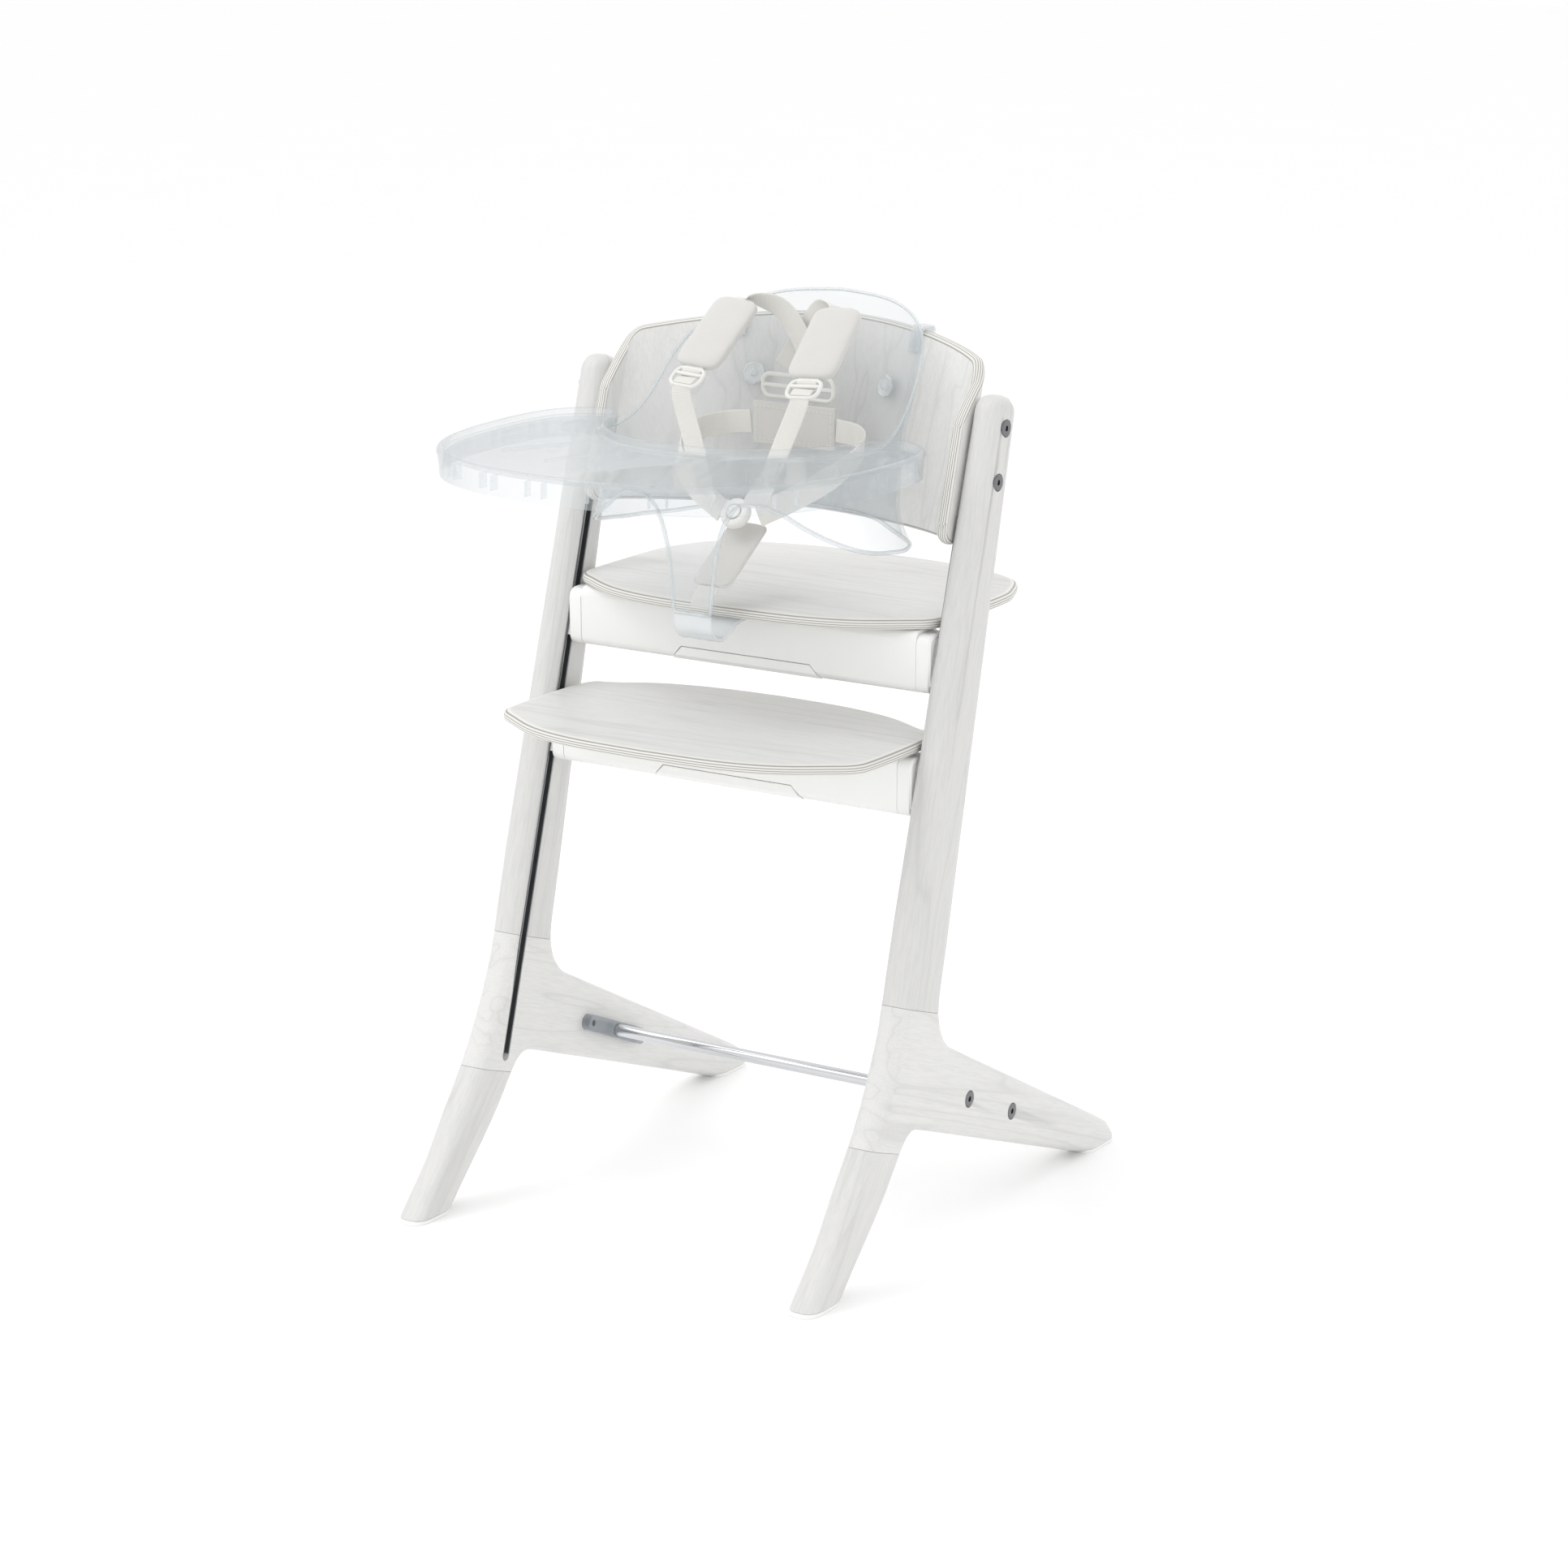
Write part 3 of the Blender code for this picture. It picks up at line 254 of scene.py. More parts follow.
def show(name, bm, finish, body, nodes=(), sharp=40.0, levels=0, recalc=True):
    """Make a visible piece from a bmesh drawn in row-frame metres."""
    if recalc:
        bmesh.ops.recalc_face_normals(bm, faces=bm.faces)
    mesh = bpy.data.meshes.new(name)
    bm.to_mesh(mesh)
    bm.free()
    mesh.materials.append(FINISH[finish])
    mesh.shade_smooth()
    mesh.set_sharp_from_angle(angle=math.radians(sharp))
    item = bpy.data.objects.new(name, mesh)
    bpy.context.scene.collection.objects.link(item)
    if levels:
        step = item.modifiers.new("smooth", "SUBSURF")
        step.levels = step.render_levels = levels
    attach(item, body)
    if nodes:
        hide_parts(*nodes)
    return item


def polished(node, finish, body, bevel=0.0, segments=2):
    """Show a CAD node as a welded copy with softened edges."""
    bm = bmesh.new()
    bm.from_mesh(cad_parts[node].data)
    bmesh.ops.remove_doubles(bm, verts=bm.verts, dist=0.00001)
    bmesh.ops.dissolve_limit(bm, angle_limit=math.radians(0.4), verts=bm.verts, edges=bm.edges)
    item = show(node + "_finish", bm, finish, body, (node,), 33.0)
    if bevel:
        step = item.modifiers.new("edges", "BEVEL")
        step.width = bevel
        step.segments = segments
        step.limit_method = "ANGLE"
        step.angle_limit = math.radians(38)
        step.harden_normals = True
    return item


def loft(rings, closed=False, uv=None):
    """Skin equal closed loops of points given in the drawing; uv holds (u, v) for each."""
    bm = bmesh.new()
    rows = [[bm.verts.new(Vector(point) + SHIFT) for point in ring] for ring in rings]
    count = len(rings[0])
    layer = bm.loops.layers.uv.new("strap") if uv else None
    pairs = [(i, i + 1) for i in range(len(rows) - 1)]
    if closed:
        pairs.append((len(rows) - 1, 0))
    for a, b in pairs:
        for i in range(count):
            j = (i + 1) % count
            face = bm.faces.new((rows[a][i], rows[a][j], rows[b][j], rows[b][i]))
            if uv:
                for loop, (r, k) in zip(face.loops, ((a, i), (a, j), (b, j), (b, i))):
                    loop[layer].uv = uv[r][k]
    if not closed:
        bm.faces.new(rows[0])
        bm.faces.new(rows[-1])
    return bm


def smooth_curve(points, steps):
    points = [Vector(p) for p in points]
    ends = [2 * points[0] - points[1], *points, 2 * points[-1] - points[-2]]
    curve = []
    for a, b, c, d in zip(ends, ends[1:], ends[2:], ends[3:]):
        for k in range(steps):
            t = k / steps
            curve.append(0.5 * (2 * b + (c - a) * t + (2 * a - 5 * b + 4 * c - d) * t * t
                                + (3 * b - 3 * c + d - a) * t ** 3))
    curve.append(points[-1])
    return curve


def inset(outline, distance):
    moved = []
    count = len(outline)
    for i, here in enumerate(outline):
        here = Vector(here)
        before = here - Vector(outline[i - 1])
        after = Vector(outline[(i + 1) % count]) - here
        n1 = Vector((-before.y, before.x)).normalized()
        n2 = Vector((-after.y, after.x)).normalized()
        moved.append(here + (n1 + n2) / (1.0 + n1.dot(n2)) * distance)
    return moved


def scaled(points):
    return [tuple(value * 0.001 for value in point) for point in points]


def tube(path, radius, sides=8, closed=False):
    """Round bead along a path in the drawing."""
    path = [Vector(p) for p in path]
    rings = []
    count = len(path)
    up = None
    for i, point in enumerate(path):
        if closed:
            ahead = path[(i + 1) % count] - path[i - 1]
        else:
            ahead = path[min(i + 1, count - 1)] - path[max(i - 1, 0)]
        ahead.normalize()
        if up is None:
            up = ahead.orthogonal().normalized()
        up = (up - ahead * up.dot(ahead)).normalized()
        side = ahead.cross(up)
        rings.append([point + radius * (up * math.cos(a) + side * math.sin(a))
                      for a in (2 * math.pi * k / sides for k in range(sides))])
    return loft(rings, closed)


def merge(target, *others):
    """Add other bmeshes to the first one."""
    for other in others:
        mesh = bpy.data.meshes.new("part")
        other.to_mesh(mesh)
        other.free()
        target.from_mesh(mesh)
        bpy.data.meshes.remove(mesh)
    return target


def rounded_box(size, radius, axes=None, centre=(0, 0, 0), segments=3):
    bm = bmesh.new()
    bmesh.ops.create_cube(bm, size=1.0)
    bmesh.ops.scale(bm, verts=bm.verts, vec=size)
    bmesh.ops.bevel(bm, geom=bm.verts[:] + bm.edges[:], offset=radius, segments=segments,
                    profile=0.5, affect="EDGES")
    place = Matrix.Translation(Vector(centre) + SHIFT)
    if axes:
        place = place @ axes.to_4x4()
    bmesh.ops.transform(bm, matrix=place, verts=bm.verts)
    return bm


def turned(profile, start, direction, sides, lobes=0, depth=0.0):
    """Solid of revolution; lobes scallop its edge."""
    direction = Vector(direction).normalized()
    turn = direction.to_track_quat("Z", "Y").to_matrix()
    rings = []
    for along, radius in profile:
        ring = []
        for k in range(sides):
            angle = 2 * math.pi * k / sides
            r = radius * (1 + depth * (math.cos(lobes * angle) - 1) / 2)
            local = Vector((r * math.cos(angle), r * math.sin(angle), along))
            ring.append(Vector(start) + turn @ local)
        rings.append(ring)
    return loft(rings)


def strap(name, path, across, width, body, nodes, thickness=0.0015, steps=6):
    """Woven strap with soft sides along a smooth path."""
    points = smooth_curve(path, steps)
    half, thin = width / 2, thickness / 2
    section = ((-half, 0), (-half * 0.97, -thin * 0.8), (-half * 0.86, -thin), (0, -thin * 1.05),
               (half * 0.86, -thin), (half * 0.97, -thin * 0.8), (half, 0), (half * 0.97, thin * 0.8),
               (half * 0.86, thin), (0, thin * 1.05), (-half * 0.86, thin),
               (-half * 0.97, thin * 0.8))
    rings, uvs, run = [], [], 0.0
    for i, point in enumerate(points):
        if i:
            run += (point - points[i - 1]).length
        ahead = points[min(i + 1, len(points) - 1)] - points[max(i - 1, 0)]
        side = Vector(across[0]).lerp(Vector(across[1]), i / (len(points) - 1))
        side = (side - ahead * (side.dot(ahead) / ahead.length_squared)).normalized()
        flat = ahead.cross(side).normalized()
        rings.append([point + side * u + flat * t for u, t in section])
        uvs.append([(u, run) for u, t in section])
    return show(name, loft(rings, uv=uvs), "webbing", body, nodes, 60.0)


# ---------------------------------------------------------------- wood, metal and plain plastic

def dress_frame():
    for label, side in SIDES:
        polished(f"{label}_post", "post", "frame")
        polished(f"{label}_rear_leg", "rear_leg", "frame")
        polished(f"{label}_front_leg", "front_leg", "frame")
        polished(f"{label}_track", "track", "frame")
        polished(f"{label}_front_glide", "white", "frame", 0.0008)
        polished(f"{label}_rear_glide", "white", "frame", 0.0008)
        polished(f"{label}_stretcher_flange", "smoke", "frame", 0.0012)
        for kind in ("backrest", "stretcher"):
            for number in (1, 2):
                polished(f"{label}_{kind}_bolt_{number}", "bolt", "frame", 0.0005)
    polished("stretcher_bar", "chrome", "frame", 0.0008)
    for group in ("seat", "footrest"):
        polished(f"{group}_crossbar", "white", group, 0.0010)
        polished(f"{group}_lever", "white", f"{group}_lever", 0.0008)
        polished(f"{group}_left_cap", "white", group, 0.0006)
        polished(f"{group}_right_cap", "white", group, 0.0006)


# ---------------------------------------------------------------- plywood

PLY = 0.0011  # thickness of one layer


def board_outline(front, back, side_front, side_back):
    half = 0.205
    right = smooth_curve([
        (0.0, front), (0.080, front + 0.004), (0.135, front + 0.018), (0.178, front + 0.044),
        (0.199, side_front - 0.012), (half, side_front + 0.014), (half, side_back - 0.02),
        (0.197, side_back + 0.018), (0.175, back - 0.040), (0.130, back - 0.017),
        (0.070, back - 0.004), (0.0, back)], 5)
    return right + [Vector((-p.x, p.y)) for p in right[-2:0:-1]]


def paint_layers(item, layer_values, edge_values):
    for name, values in (("layer", layer_values), ("edge", edge_values)):
        attribute = item.data.attributes.new(name, "FLOAT", "POINT")
        attribute.data.foreach_set("value", values)


def make_board(name, outline, bottom, body):
    """Board with a chamfered top edge; its layers show on the whole edge."""
    profile = ((0.0, 0.0050), (0.0002, 0.0026), (0.0009, 0.0012), (0.0020, 0.0005), (0.0035, 0.0001),
               (0.0050, 0.0), (0.0065, 0.0003), (0.0078, 0.0011), (0.0088, 0.0024),
               (0.0095, 0.0042), (0.0099, 0.0058), (0.0100, 0.0078))
    rings, layer, edge = [], [], []
    for i, (height, distance) in enumerate(profile):
        ring = inset(outline, distance)
        rings.append([(p.x, p.y, bottom + height) for p in ring])
        layer += [height / PLY] * len(ring)
        edge += [0.0 if i in (0, len(profile) - 1) else 1.0] * len(ring)
    item = show(name + "_finish", loft(rings), "board", body, (name,), 30.0)
    paint_layers(item, layer, edge)


def back_plan(share):
    if abs(share) > 0.85:
        forward = (abs(share) - 0.85) / 0.15
        return Vector((math.copysign(0.200, share), 0.0765 - 0.026 * forward))
    angle = share / 0.85 * math.pi / 2
    power = 2 / 1.45
    return Vector((math.copysign(abs(math.sin(angle)) ** power, angle) * 0.200,
                   0.0765 + 0.078 * abs(math.cos(angle)) ** power))


def back_top(share):
    x = back_plan(share).x
    step = min((1 - abs(share)) / 0.30, 1.0)
    return 0.850 - 0.53 * x * x - 0.052 * (1 - step) ** 1.6


def back_bottom(share):
    corner = min((1 - abs(share)) / 0.14, 1.0)
    return 0.665 + 0.020 * (1 - math.sqrt(1 - (1 - corner) ** 2))


def make_backrest():
    """Bent plywood panel with rounded edges all round."""
    half, columns, rows = 0.0055, 97, 10
    around = [math.radians(a) for a in (90, 65, 40, 15, -15, -40, -65, -90)]
    shares = [math.copysign(1 - (1 - abs(e)) ** 1.25, e)
              for e in (2 * i / (columns - 1) - 1 for i in range(columns))]
    plan = [back_plan(share) for share in shares]
    rings, layer, edge = [], [], []

    def add_ring(i, share, trim, shrink):
        ahead = plan[min(i + 1, columns - 1)] - plan[max(i - 1, 0)]
        if i in (0, columns - 1):
            ahead = Vector((0, 1 if i == 0 else -1))
        normal = Vector((-ahead.y, ahead.x)).normalized()
        tangent = ahead.normalized() * trim
        low, high = back_bottom(share) + abs(trim), back_top(share) - abs(trim)
        spots = []
        for k in range(rows + 1):
            spots.append((-shrink, low + 0.0035 + (high - low - 0.007) * k / rows, 0.0))
        for a in around[::-1]:
            spots.append((shrink * math.sin(a), high - 0.0035 + 0.0035 * math.cos(a), 1.0))
        for k in range(rows, -1, -1):
            spots.append((shrink, low + 0.0035 + (high - low - 0.007) * k / rows, 0.0))
        for a in around:
            spots.append((shrink * math.sin(a), low + 0.0035 - 0.0035 * math.cos(a), 1.0))
        ring = []
        for out, z, rim in spots:
            p = plan[i] + normal * out * half + tangent
            ring.append((p.x, p.y + 0.30 * (z - 0.75), z))
            layer.append((out + 1) * half / PLY)
            edge.append(1.0 if trim else rim)
        rings.append(ring)

    for trim, shrink in ((0.0, 0.45), (0.0004, 0.70), (0.0014, 0.90)):
        add_ring(0, shares[0], trim, shrink)
    for i in range(2, columns - 2):
        add_ring(i, shares[i], 0.0, 1.0)
    for trim, shrink in ((-0.0014, 0.90), (-0.0004, 0.70), (0.0, 0.45)):
        add_ring(columns - 1, shares[-1], trim, shrink)
    item = show("backrest_finish", loft(rings), "back", "frame", ("backrest",), 50.0)
    for value_list in (edge,):
        count = len(rings[0])
        value_list[:count] = [1.0] * count
        value_list[-count:] = [1.0] * count
    paint_layers(item, layer, edge)


# ---------------------------------------------------------------- clear shell

def interpolate(table, value):
    """Smooth curve through a short list of (input, output) pairs, without overshoot."""
    last = len(table) - 1
    value = min(max(value, table[0][0]), table[-1][0])
    i = max(k for k in range(last) if table[k][0] <= value)

    def secant(k):
        k = min(max(k, 0), last - 1)
        return (table[k + 1][1] - table[k][1]) / (table[k + 1][0] - table[k][0])

    def slope(k):
        before, after = secant(k - 1), secant(k)
        return 0 if before * after <= 0 else 2 * before * after / (before + after)

    span = table[i + 1][0] - table[i][0]
    t = (value - table[i][0]) / span
    return ((2 * t ** 3 - 3 * t * t + 1) * table[i][1] + (3 * t * t - 2 * t ** 3) * table[i + 1][1]
            + (t ** 3 - 2 * t * t + t) * span * slope(i) + (t ** 3 - t * t) * span * slope(i + 1))


def shell_point(angle, z):
    rise = max(0.0, z - 0.76)
    half = 0.145 + 0.20 * rise
    front = 0.088 + 0.24 * max(0.0, z - 0.70)
    back = 0.143 + 0.30 * (z - 0.75)
    turn = math.radians(angle)
    power = 2 / 2.4
    x = half * math.copysign(abs(math.sin(turn)) ** power, math.sin(turn))
    reach = front if math.cos(turn) > 0 else back
    y = -reach * math.copysign(abs(math.cos(turn)) ** power, math.cos(turn))
    low = min(1.0, max(0.0, (0.698 - z) / 0.044))
    sides = min(1.0, max(0.0, abs(math.sin(turn)) * 2.6 - 1.3))
    outward = Vector((x, y)).normalized() * 0.017 * low * low * sides
    return Vector((x + outward.x, y + outward.y, z))


SHELL_TOP = ((0, 0.7535), (90, 0.7535), (95, 0.757), (100, 0.763), (106, 0.773), (112, 0.788),
             (118, 0.806), (125, 0.824), (132, 0.837), (140, 0.848), (150, 0.859), (165, 0.869),
             (180, 0.873))
SHELL_SIDE_BOTTOM = ((25, 0.711), (35, 0.702), (45, 0.690), (60, 0.676), (75, 0.666), (90, 0.660),
                     (105, 0.656), (120, 0.656), (135, 0.660), (150, 0.668), (180, 0.670))
CROTCH_EDGE = ((0.0, 0.600), (0.0195, 0.600), (0.0215, 0.610), (0.024, 0.640), (0.030, 0.672),
               (0.040, 0.696), (0.054, 0.709), (0.068, 0.711))


def shell_bottom(angle):
    if angle >= 27:
        return interpolate(SHELL_SIDE_BOTTOM, angle)
    return interpolate(CROTCH_EDGE, abs(shell_point(angle, 0.68).x))


def make_shell():
    """Clear bucket: rolled rim, flared leg openings and a crotch post."""
    rows = 14
    front = [math.degrees(math.asin((x * 0.001 / 0.145) ** 1.2))
             for x in (0, 5, 10, 15, 19.0, 20.2, 21.5, 23, 25, 27.5, 31, 35, 40, 46, 53)]
    right = front + [27 + 2.125 * k for k in range(72)]
    angles = right + [180] + [360 - a for a in right[:0:-1]]
    columns = []
    for angle in angles:
        even = angle if angle <= 180 else 360 - angle
        low, high = shell_bottom(even), interpolate(SHELL_TOP, even)
        columns.append([shell_point(angle, low + (high - low) * k / rows)
                        for k in range(rows + 1)])
    count = len(columns)
    rings = []
    for i, column in enumerate(columns):
        before, after = columns[i - 1], columns[(i + 1) % count]
        outer, inner = [], []
        for k, point in enumerate(column):
            along = after[k] - before[k]
            up = column[min(k + 1, rows)] - column[max(k - 1, 0)]
            along.z *= 0.2
            normal = along.cross(up).normalized()
            bead = 0.0017 * (1.25 if k in (0, rows) else 1.0)
            outer.append(point + normal * bead)
            inner.append(point - normal * bead)
        rings.append(outer + inner[::-1])
    show("baby_shell_finish", loft(rings, closed=True), "clear", "frame", ("baby_shell",), 80.0, 1)
    rim = [column[-1] + Vector((0, 0, -0.0002)) for column in columns]
    show("shell_rim_bead", tube(rim, 0.0015, 8, True), "bead", "frame", (), 80.0)
    edge = [column[0] + Vector((0, 0, 0.0002)) for column in columns]
    show("shell_lower_bead", tube(edge, 0.0021, 8, True), "bead", "frame", (), 80.0)


def knob_place(side):
    angle = 180 - side * math.degrees(math.asin((0.077 / 0.151) ** 1.2))
    here = shell_point(angle, 0.789)
    along = shell_point(angle + 1, 0.789) - shell_point(angle - 1, 0.789)
    up = shell_point(angle, 0.791) - here
    normal = along.cross(up).normalized()
    return here, -normal if normal.y > 0 else normal


def make_fittings():
    """Turn knobs, hooks, crotch clip and tray catches."""
    for label, side in SIDES:
        here, normal = knob_place(side)
        start = here + normal * 0.0027
        profile = ((0.0, 0.0100), (0.0008, 0.0112), (0.0022, 0.0119), (0.0036, 0.0117),
                   (0.0046, 0.0108), (0.0049, 0.0096), (0.0042, 0.0086), (0.0042, 0.0040),
                   (0.0052, 0.0034), (0.0056, 0.0020))
        disc = turned(profile, start, normal, 48, 8, 0.10)
        show(f"{label}_knob_finish", disc, "rib", f"{label}_knob", (f"{label}_knob",), 50.0)
        polished(f"{label}_hook", "rib", "frame", 0.0006)
        polished(f"{label}_tray_release", "rib", f"{label}_tray_release", 0.0004)
    polished("crotch_clip", "rib", "seat", 0.0012, 3)


# ---------------------------------------------------------------- tray

def tray_outline(steps):
    right = smooth_curve(scaled([
        (0, -308), (56, -303), (106, -290), (150, -268), (183, -237), (205, -196), (216, -150),
        (220, -100), (219, -55), (211, -18), (194, 5), (174, 16), (158, 17), (147, 8),
        (137, -12), (126, -38), (108, -66), (80, -91), (42, -106), (0, -111)]), steps)
    return right + [Vector((-p.x, p.y)) for p in right[-2:0:-1]]


def make_tray():
    """Deck with a rolled rim, a skirt outside and stiffening ribs below."""
    outline = tray_outline(6)
    skirts = []
    for p in outline:
        near = p.y > -0.118 and abs(p.x) < 0.152
        inside = near and (p.x / 0.155) ** 2 + (p.y / 0.125) ** 2 < 1.03
        skirts.append(0.7560 if inside else 0.738)
    layers = ((0.0078, 0.7575, 0), (0.0070, 0.7560, 0), (0.0052, 0.0012, 1), (0.0040, 0.0, 1),
              (0.0026, 0.0006, 1), (0.0012, 0.7560, 0), (0.0002, 0.7600, 0), (0.0004, 0.7626, 0),
              (0.0016, 0.7643, 0), (0.0034, 0.7650, 0), (0.0054, 0.7643, 0), (0.0074, 0.7622, 0),
              (0.0088, 0.7608, 0), (0.0108, 0.7605, 0))
    rings = []
    for distance, height, skirt in layers:
        ring = inset(outline, distance)
        rings.append([(p.x, p.y, low + height if skirt else height)
                      for p, low in zip(ring, skirts)])
    show("tray_finish", loft(rings), "tray", "tray", ("tray",), 60.0)
    make_tray_ribs()


def rib(start, end, low, high, thickness):
    """Thin upright plate between two points of the tray's plan."""
    start, end = Vector(start), Vector(end)
    ahead = (end - start).normalized()
    turn = Matrix.Rotation(math.atan2(ahead.y, ahead.x), 3, "Z")
    middle = (start + end) / 2
    return rounded_box(((end - start).length, thickness, high - low), thickness * 0.3, turn,
                       (middle.x, middle.y, (low + high) / 2), 1)


def make_tray_ribs():
    outline = tray_outline(6)
    inner = inset(outline, 0.0135)
    outer = inset(outline, 0.0048)
    plates = []
    outside = [i for i, p in enumerate(outline)
               if not (p.y > -0.118 and abs(p.x) < 0.152)]
    run, due, flip = 0.0, 0.02, 0
    for a, b in zip(outside, outside[1:]):
        if b != a + 1:
            continue
        run += (outline[b] - outline[a]).length
        if run >= due:
            plates.append(rib(outer[b], inner[b], 0.7425, 0.7570, 0.0008))
            due += 0.019 if flip % 2 == 0 else 0.044
            flip += 1
    for x1, y1, x2, y2 in ((60, -118, 84, -205), (102, -95, 150, -180), (130, -62, 186, -122),
                           (28, -128, 34, -232)):
        for side in (-1, 1):
            start, end = (side * x1 * 0.001, y1 * 0.001), (side * x2 * 0.001, y2 * 0.001)
            plates.append(rib(start, end, 0.7530, 0.7573, 0.0008))
    show("tray_ribs", merge(plates[0], *plates[1:]), "web", "tray", (), 40.0)


# ---------------------------------------------------------------- harness

PAD_TOP, PAD_FOOT = (0.057, 0.083, 0.868), (0.064, 0.017, 0.815)


def cushion(name, centre, axes, size, nodes, seam=0.0005, bend=0.0):
    """Stuffed pad: crowned faces, pinched seam round its edge, slightly drawn-in sides."""
    width, length, height = size
    rings, around, steps = [], 40, 34
    for i in range(steps + 1):
        v = -1 + 2 * i / steps
        v = math.sin(v * math.pi / 2)
        end = max(0.0, 1 - abs(v) ** 9) ** 0.30
        ring = []
        for k in range(around):
            angle = 2 * math.pi * k / around
            cos, sin = math.cos(angle), math.sin(angle)
            u = math.copysign(abs(cos) ** 0.36, cos)
            t = math.copysign(abs(sin) ** 0.54, sin)
            side = width / 2 * (1 - 0.018 * (1 - v * v)) * (0.10 + 0.90 * end)
            crown = height / 2 * (0.12 + 0.88 * end) * (0.80 + 0.20 * (1 - u * u))
            pinch = seam * math.exp(-(t * 7) ** 2)
            wave = 0.00022 * math.sin(v * 9 + u * 3) * (1 - abs(t) ** 3 * 0.3)
            local = Vector(((side - pinch) * u, v * length / 2,
                            (crown + wave) * t - bend * (v * v - 0.4)))
            ring.append(Vector(centre) + axes @ local)
        rings.append(ring)
    item = show(name, loft(rings), "cloth", "frame", nodes, 75.0)
    return item


def rounded_rectangle(width, height, radius, steps=5):
    points = []
    for cx, cy, first in ((1, 1, 0), (-1, 1, 90), (-1, -1, 180), (1, -1, 270)):
        for k in range(steps + 1):
            a = math.radians(first + 90 * k / steps)
            points.append((cx * (width / 2 - radius) + radius * math.cos(a),
                           cy * (height / 2 - radius) + radius * math.sin(a)))
    return points


def ring_slider(name, centre, axes, width, height, thick, bars, nodes):
    """Strap slider: a rounded ring with one or more bars across it."""
    path = [Vector(centre) + axes @ Vector((x, y, 0))
            for x, y in rounded_rectangle(width - thick, height - thick, height * 0.30)]
    ring = tube(path, thick / 2, 10, True)
    pieces = []
    for y in bars:
        middle = Vector(centre) + axes @ Vector((0, y, 0))
        pieces.append(rounded_box((width - thick, thick * 0.9, thick * 0.8), thick * 0.3, axes,
                                  middle, 2))
    return show(name, merge(ring, *pieces), "cream", "frame", nodes, 60.0)


def make_shoulder(label, side):
    top = Vector((side * PAD_TOP[0], *PAD_TOP[1:]))
    foot = Vector((side * PAD_FOOT[0], *PAD_FOOT[1:]))
    down = (foot - top).normalized()
    width = Vector((1, 0, 0))
    width = (width - down * width.dot(down)).normalized()
    axes = Matrix((width, down, width.cross(down))).transposed()
    cushion(f"{label}_shoulder_cushion", (top + foot) / 2, axes,
            (0.0510, (foot - top).length + 0.004, 0.0132), (f"{label}_shoulder_pad",))
    lock = foot + down * 0.0155
    ring_slider(f"{label}_ladder_lock_finish", lock, axes, 0.037, 0.0255, 0.0040, (-0.0035,),
                (f"{label}_ladder_lock",))
    out = axes.col[2]
    strap(f"{label}_lock_strap",
          [foot + down * 0.001, lock - down * 0.008 - out * 0.0008, lock - down * 0.0035 + out * 0.0026,
           lock + down * 0.002 - out * 0.0004, lock + down * 0.0100 - out * 0.0022],
          ((1, 0, 0), (1, 0, 0)), 0.0215, "frame", (), 0.0013)
    depth = 0.0035 * side
    strap(f"{label}_back_strap_finish", [
        top + down * 0.010, top - down * 0.007 + Vector((-side * 0.003, 0, -0.002)),
        Vector((side * 0.022, 0.1030 + depth, 0.864)), Vector((0, 0.1045 + depth, 0.838)),
        Vector((-side * 0.018, 0.0990 + depth, 0.806))],
        ((1, 0, 0), (1, 0, -side * 0.6)), 0.0225, "frame", (f"{label}_back_strap",))
    start = lock + down * 0.0110
    strap(f"{label}_front_strap_finish", [
        start, start + Vector((-side * 0.002, -0.003, -0.012)), (side * 0.049, -0.011, 0.748),
        (side * 0.037, -0.016, 0.716), (side * 0.021, -0.0155, 0.6935)],
        ((1, 0, 0), (0.62, 0, side * 0.78)), 0.021, "frame", (f"{label}_front_strap",))
    strap(f"{label}_waist_belt_finish", [
        (side * 0.0485, 0.0905, 0.752), (side * 0.076, 0.086, 0.749), (side * 0.096, 0.060, 0.742),
        (side * 0.090, 0.026, 0.725), (side * 0.058, 0.004, 0.702), (side * 0.0200, -0.0040, 0.682)],
        ((0, 0, 1), (0.3, 0.2, 1)), 0.0225, "frame", (f"{label}_waist_belt",))


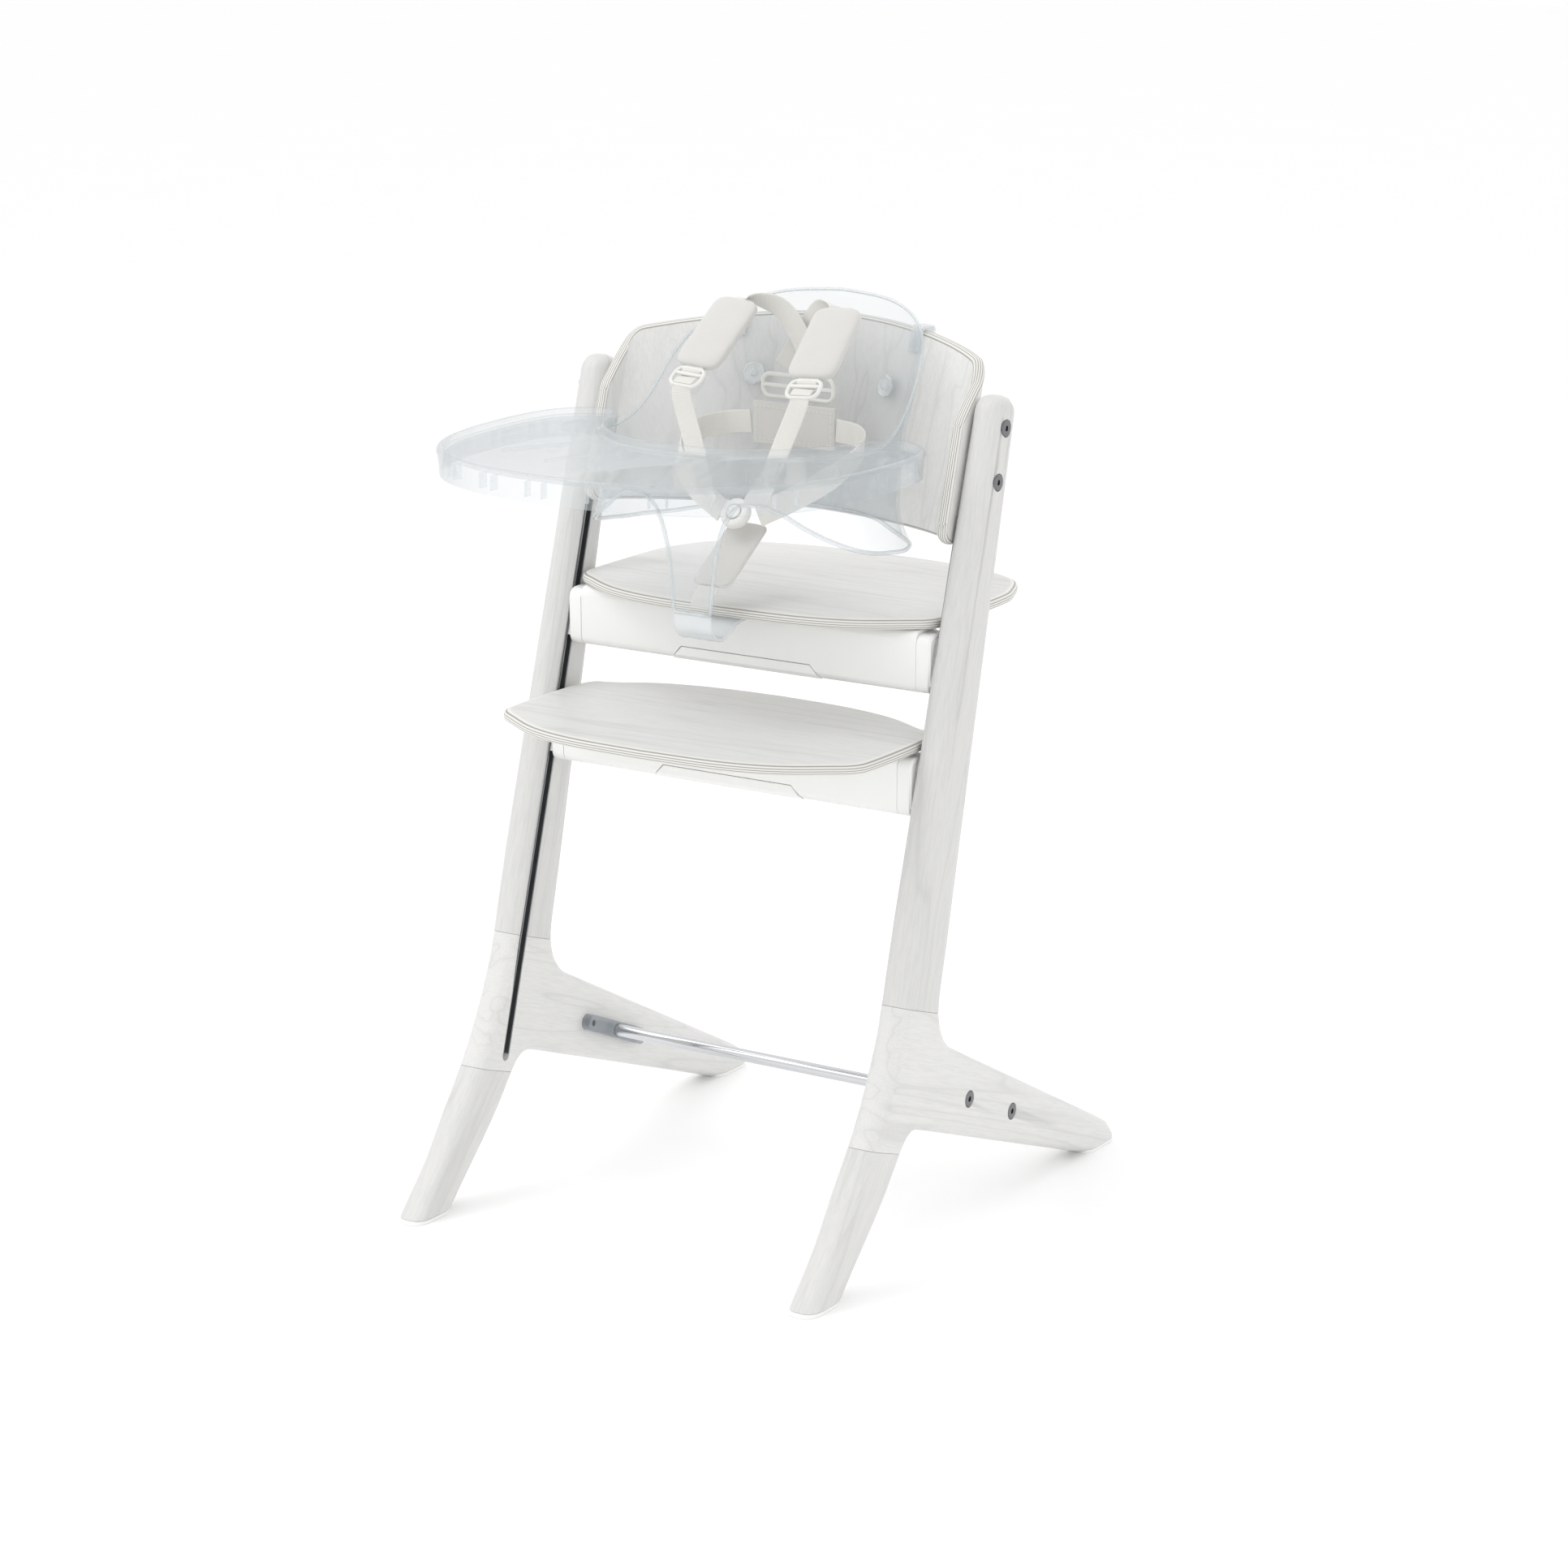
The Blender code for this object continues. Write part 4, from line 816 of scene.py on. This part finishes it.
def make_harness():
    for label, side in SIDES:
        make_shoulder(label, side)
    flat = Matrix(((1, 0, 0), (0, 0, -1), (0, 1, 0)))
    ring_slider("back_adjuster_finish", (0, 0.0985, 0.788), flat, 0.084, 0.026, 0.0042, (0.0,),
                ("back_adjuster",))
    block = rounded_box((0.093, 0.0040, 0.0415), 0.0014, None, (0, 0.092, 0.7520), 2)
    show("back_block_finish", block, "cloth", "frame", ("back_block",), 50.0)
    stitches = []
    for z in (0.7365, 0.7675):
        for k in range(18):
            stitches.append(rounded_box((0.0026, 0.0008, 0.0007), 0.0002, None,
                                        (-0.0425 + k * 0.005, 0.0898, z), 1))
    for x in (-0.0425, 0.0, 0.0425):
        for k in range(6):
            stitches.append(rounded_box((0.0007, 0.0008, 0.0026), 0.0002, None,
                                        (x, 0.0898, 0.7395 + k * 0.005), 1))
    show("back_block_stitches", merge(stitches[0], *stitches[1:]), "cream", "frame")
    axis, centre = Vector((0.0, -0.80, 0.60)), Vector((0.0, -0.012, 0.683))
    profile = ((-0.005, 0.0125), (-0.0044, 0.0140), (-0.0030, 0.0149), (0.0030, 0.0149),
               (0.0044, 0.0141), (0.0050, 0.0128), (0.0050, 0.0086), (0.0042, 0.0079),
               (0.0008, 0.0078))
    show("buckle_finish", turned(profile, centre, axis, 48), "cream", "frame", ("buckle",), 45.0)
    profile = ((0.0010, 0.0068), (0.0048, 0.0071), (0.0058, 0.0066), (0.0056, 0.0040),
               (0.0052, 0.0012))
    show("buckle_button_finish", turned(profile, centre, axis, 40), "cream", "buckle_button",
         ("buckle_button",), 45.0)
    slope = Vector((0, 0.83, 0.555)).normalized()
    pad = Vector((0, -0.022, 0.6450))
    lay = Matrix((Vector((1, 0, 0)), slope, Vector((1, 0, 0)).cross(slope))).transposed()
    cushion("crotch_cushion", pad, lay, (0.0425, 0.0850, 0.0078), ("crotch_pad",), 0.0003)
    piping = [pad + lay @ Vector((x, y, 0)) for x, y in rounded_rectangle(0.0412, 0.0832, 0.007)]
    show("crotch_piping", tube(piping, 0.0012, 8, True), "cloth", "frame")
    foot = pad - slope * 0.0435
    strap("crotch_strap_finish", [foot, foot - slope * 0.012 + Vector((0, -0.001, -0.001)),
                                  foot - slope * 0.016 + Vector((0, -0.003, -0.008))],
          ((1, 0, 0), (1, 0, 0)), 0.0225, "frame", ("crotch_strap",))


# ---------------------------------------------------------------- room, light and camera

def make_room():
    g = Graph("floor", (0.99, 0.99, 0.99), 1.0)
    g.join(g.mix(g.noise(g.scaled_coords(0, (1, 1, 1)), 3.0), (0.985, 0.985, 0.985, 1),
                 (0.995, 0.995, 0.995, 1)), "Base Color")
    mesh = bpy.data.meshes.new("floor")
    bm = bmesh.new()
    bmesh.ops.create_grid(bm, x_segments=4, y_segments=4, size=14.0)
    bm.to_mesh(mesh)
    bm.free()
    mesh.materials.append(g.material)
    floor = bpy.data.objects.new("floor", mesh)
    bpy.context.scene.collection.objects.link(floor)
    world = bpy.data.worlds.new("studio")
    world.use_nodes = True
    world.node_tree.nodes["Background"].inputs["Color"].default_value = (1.0, 1.0, 1.0, 1.0)
    world.node_tree.nodes["Background"].inputs["Strength"].default_value = 1.0
    bpy.context.scene.world = world
    for name, place, size, power in (("key", (-1.8, -1.2, 3.0), 2.2, 26),
                                     ("fill", (2.6, -2.2, 1.6), 2.0, 4),
                                     ("rim", (0.3, 2.6, 2.4), 2.4, 12)):
        light = bpy.data.lights.new(name, "AREA")
        light.size = size
        light.energy = power
        lamp = bpy.data.objects.new(name, light)
        lamp.location = place
        aim = Vector((0, 0, 0.45)) - Vector(place)
        lamp.rotation_euler = aim.to_track_quat("-Z", "Y").to_euler()
        bpy.context.scene.collection.objects.link(lamp)


def make_camera():
    data = bpy.data.cameras.new("camera")
    data.lens, data.sensor_width = 98.24, 36.0
    camera = bpy.data.objects.new("camera", data)
    camera.location = Vector((2.1696, -3.3490, 1.4740)) + SHIFT
    aim = Vector((-0.0221, 0.1080, 0.3883)) + SHIFT - camera.location
    camera.rotation_euler = aim.to_track_quat("-Z", "Y").to_euler()
    bpy.context.scene.collection.objects.link(camera)
    bpy.context.scene.camera = camera
    bpy.context.scene.view_settings.view_transform = "Standard"


dress_frame()
make_board("seat_board", board_outline(-0.043, 0.258, 0.030, 0.160), 0.589, "seat")
make_board("footrest_board", board_outline(-0.178, 0.078, -0.105, 0.010), 0.478, "footrest")
make_backrest()
make_shell()
make_fittings()
make_tray()
make_harness()
make_room()
make_camera()
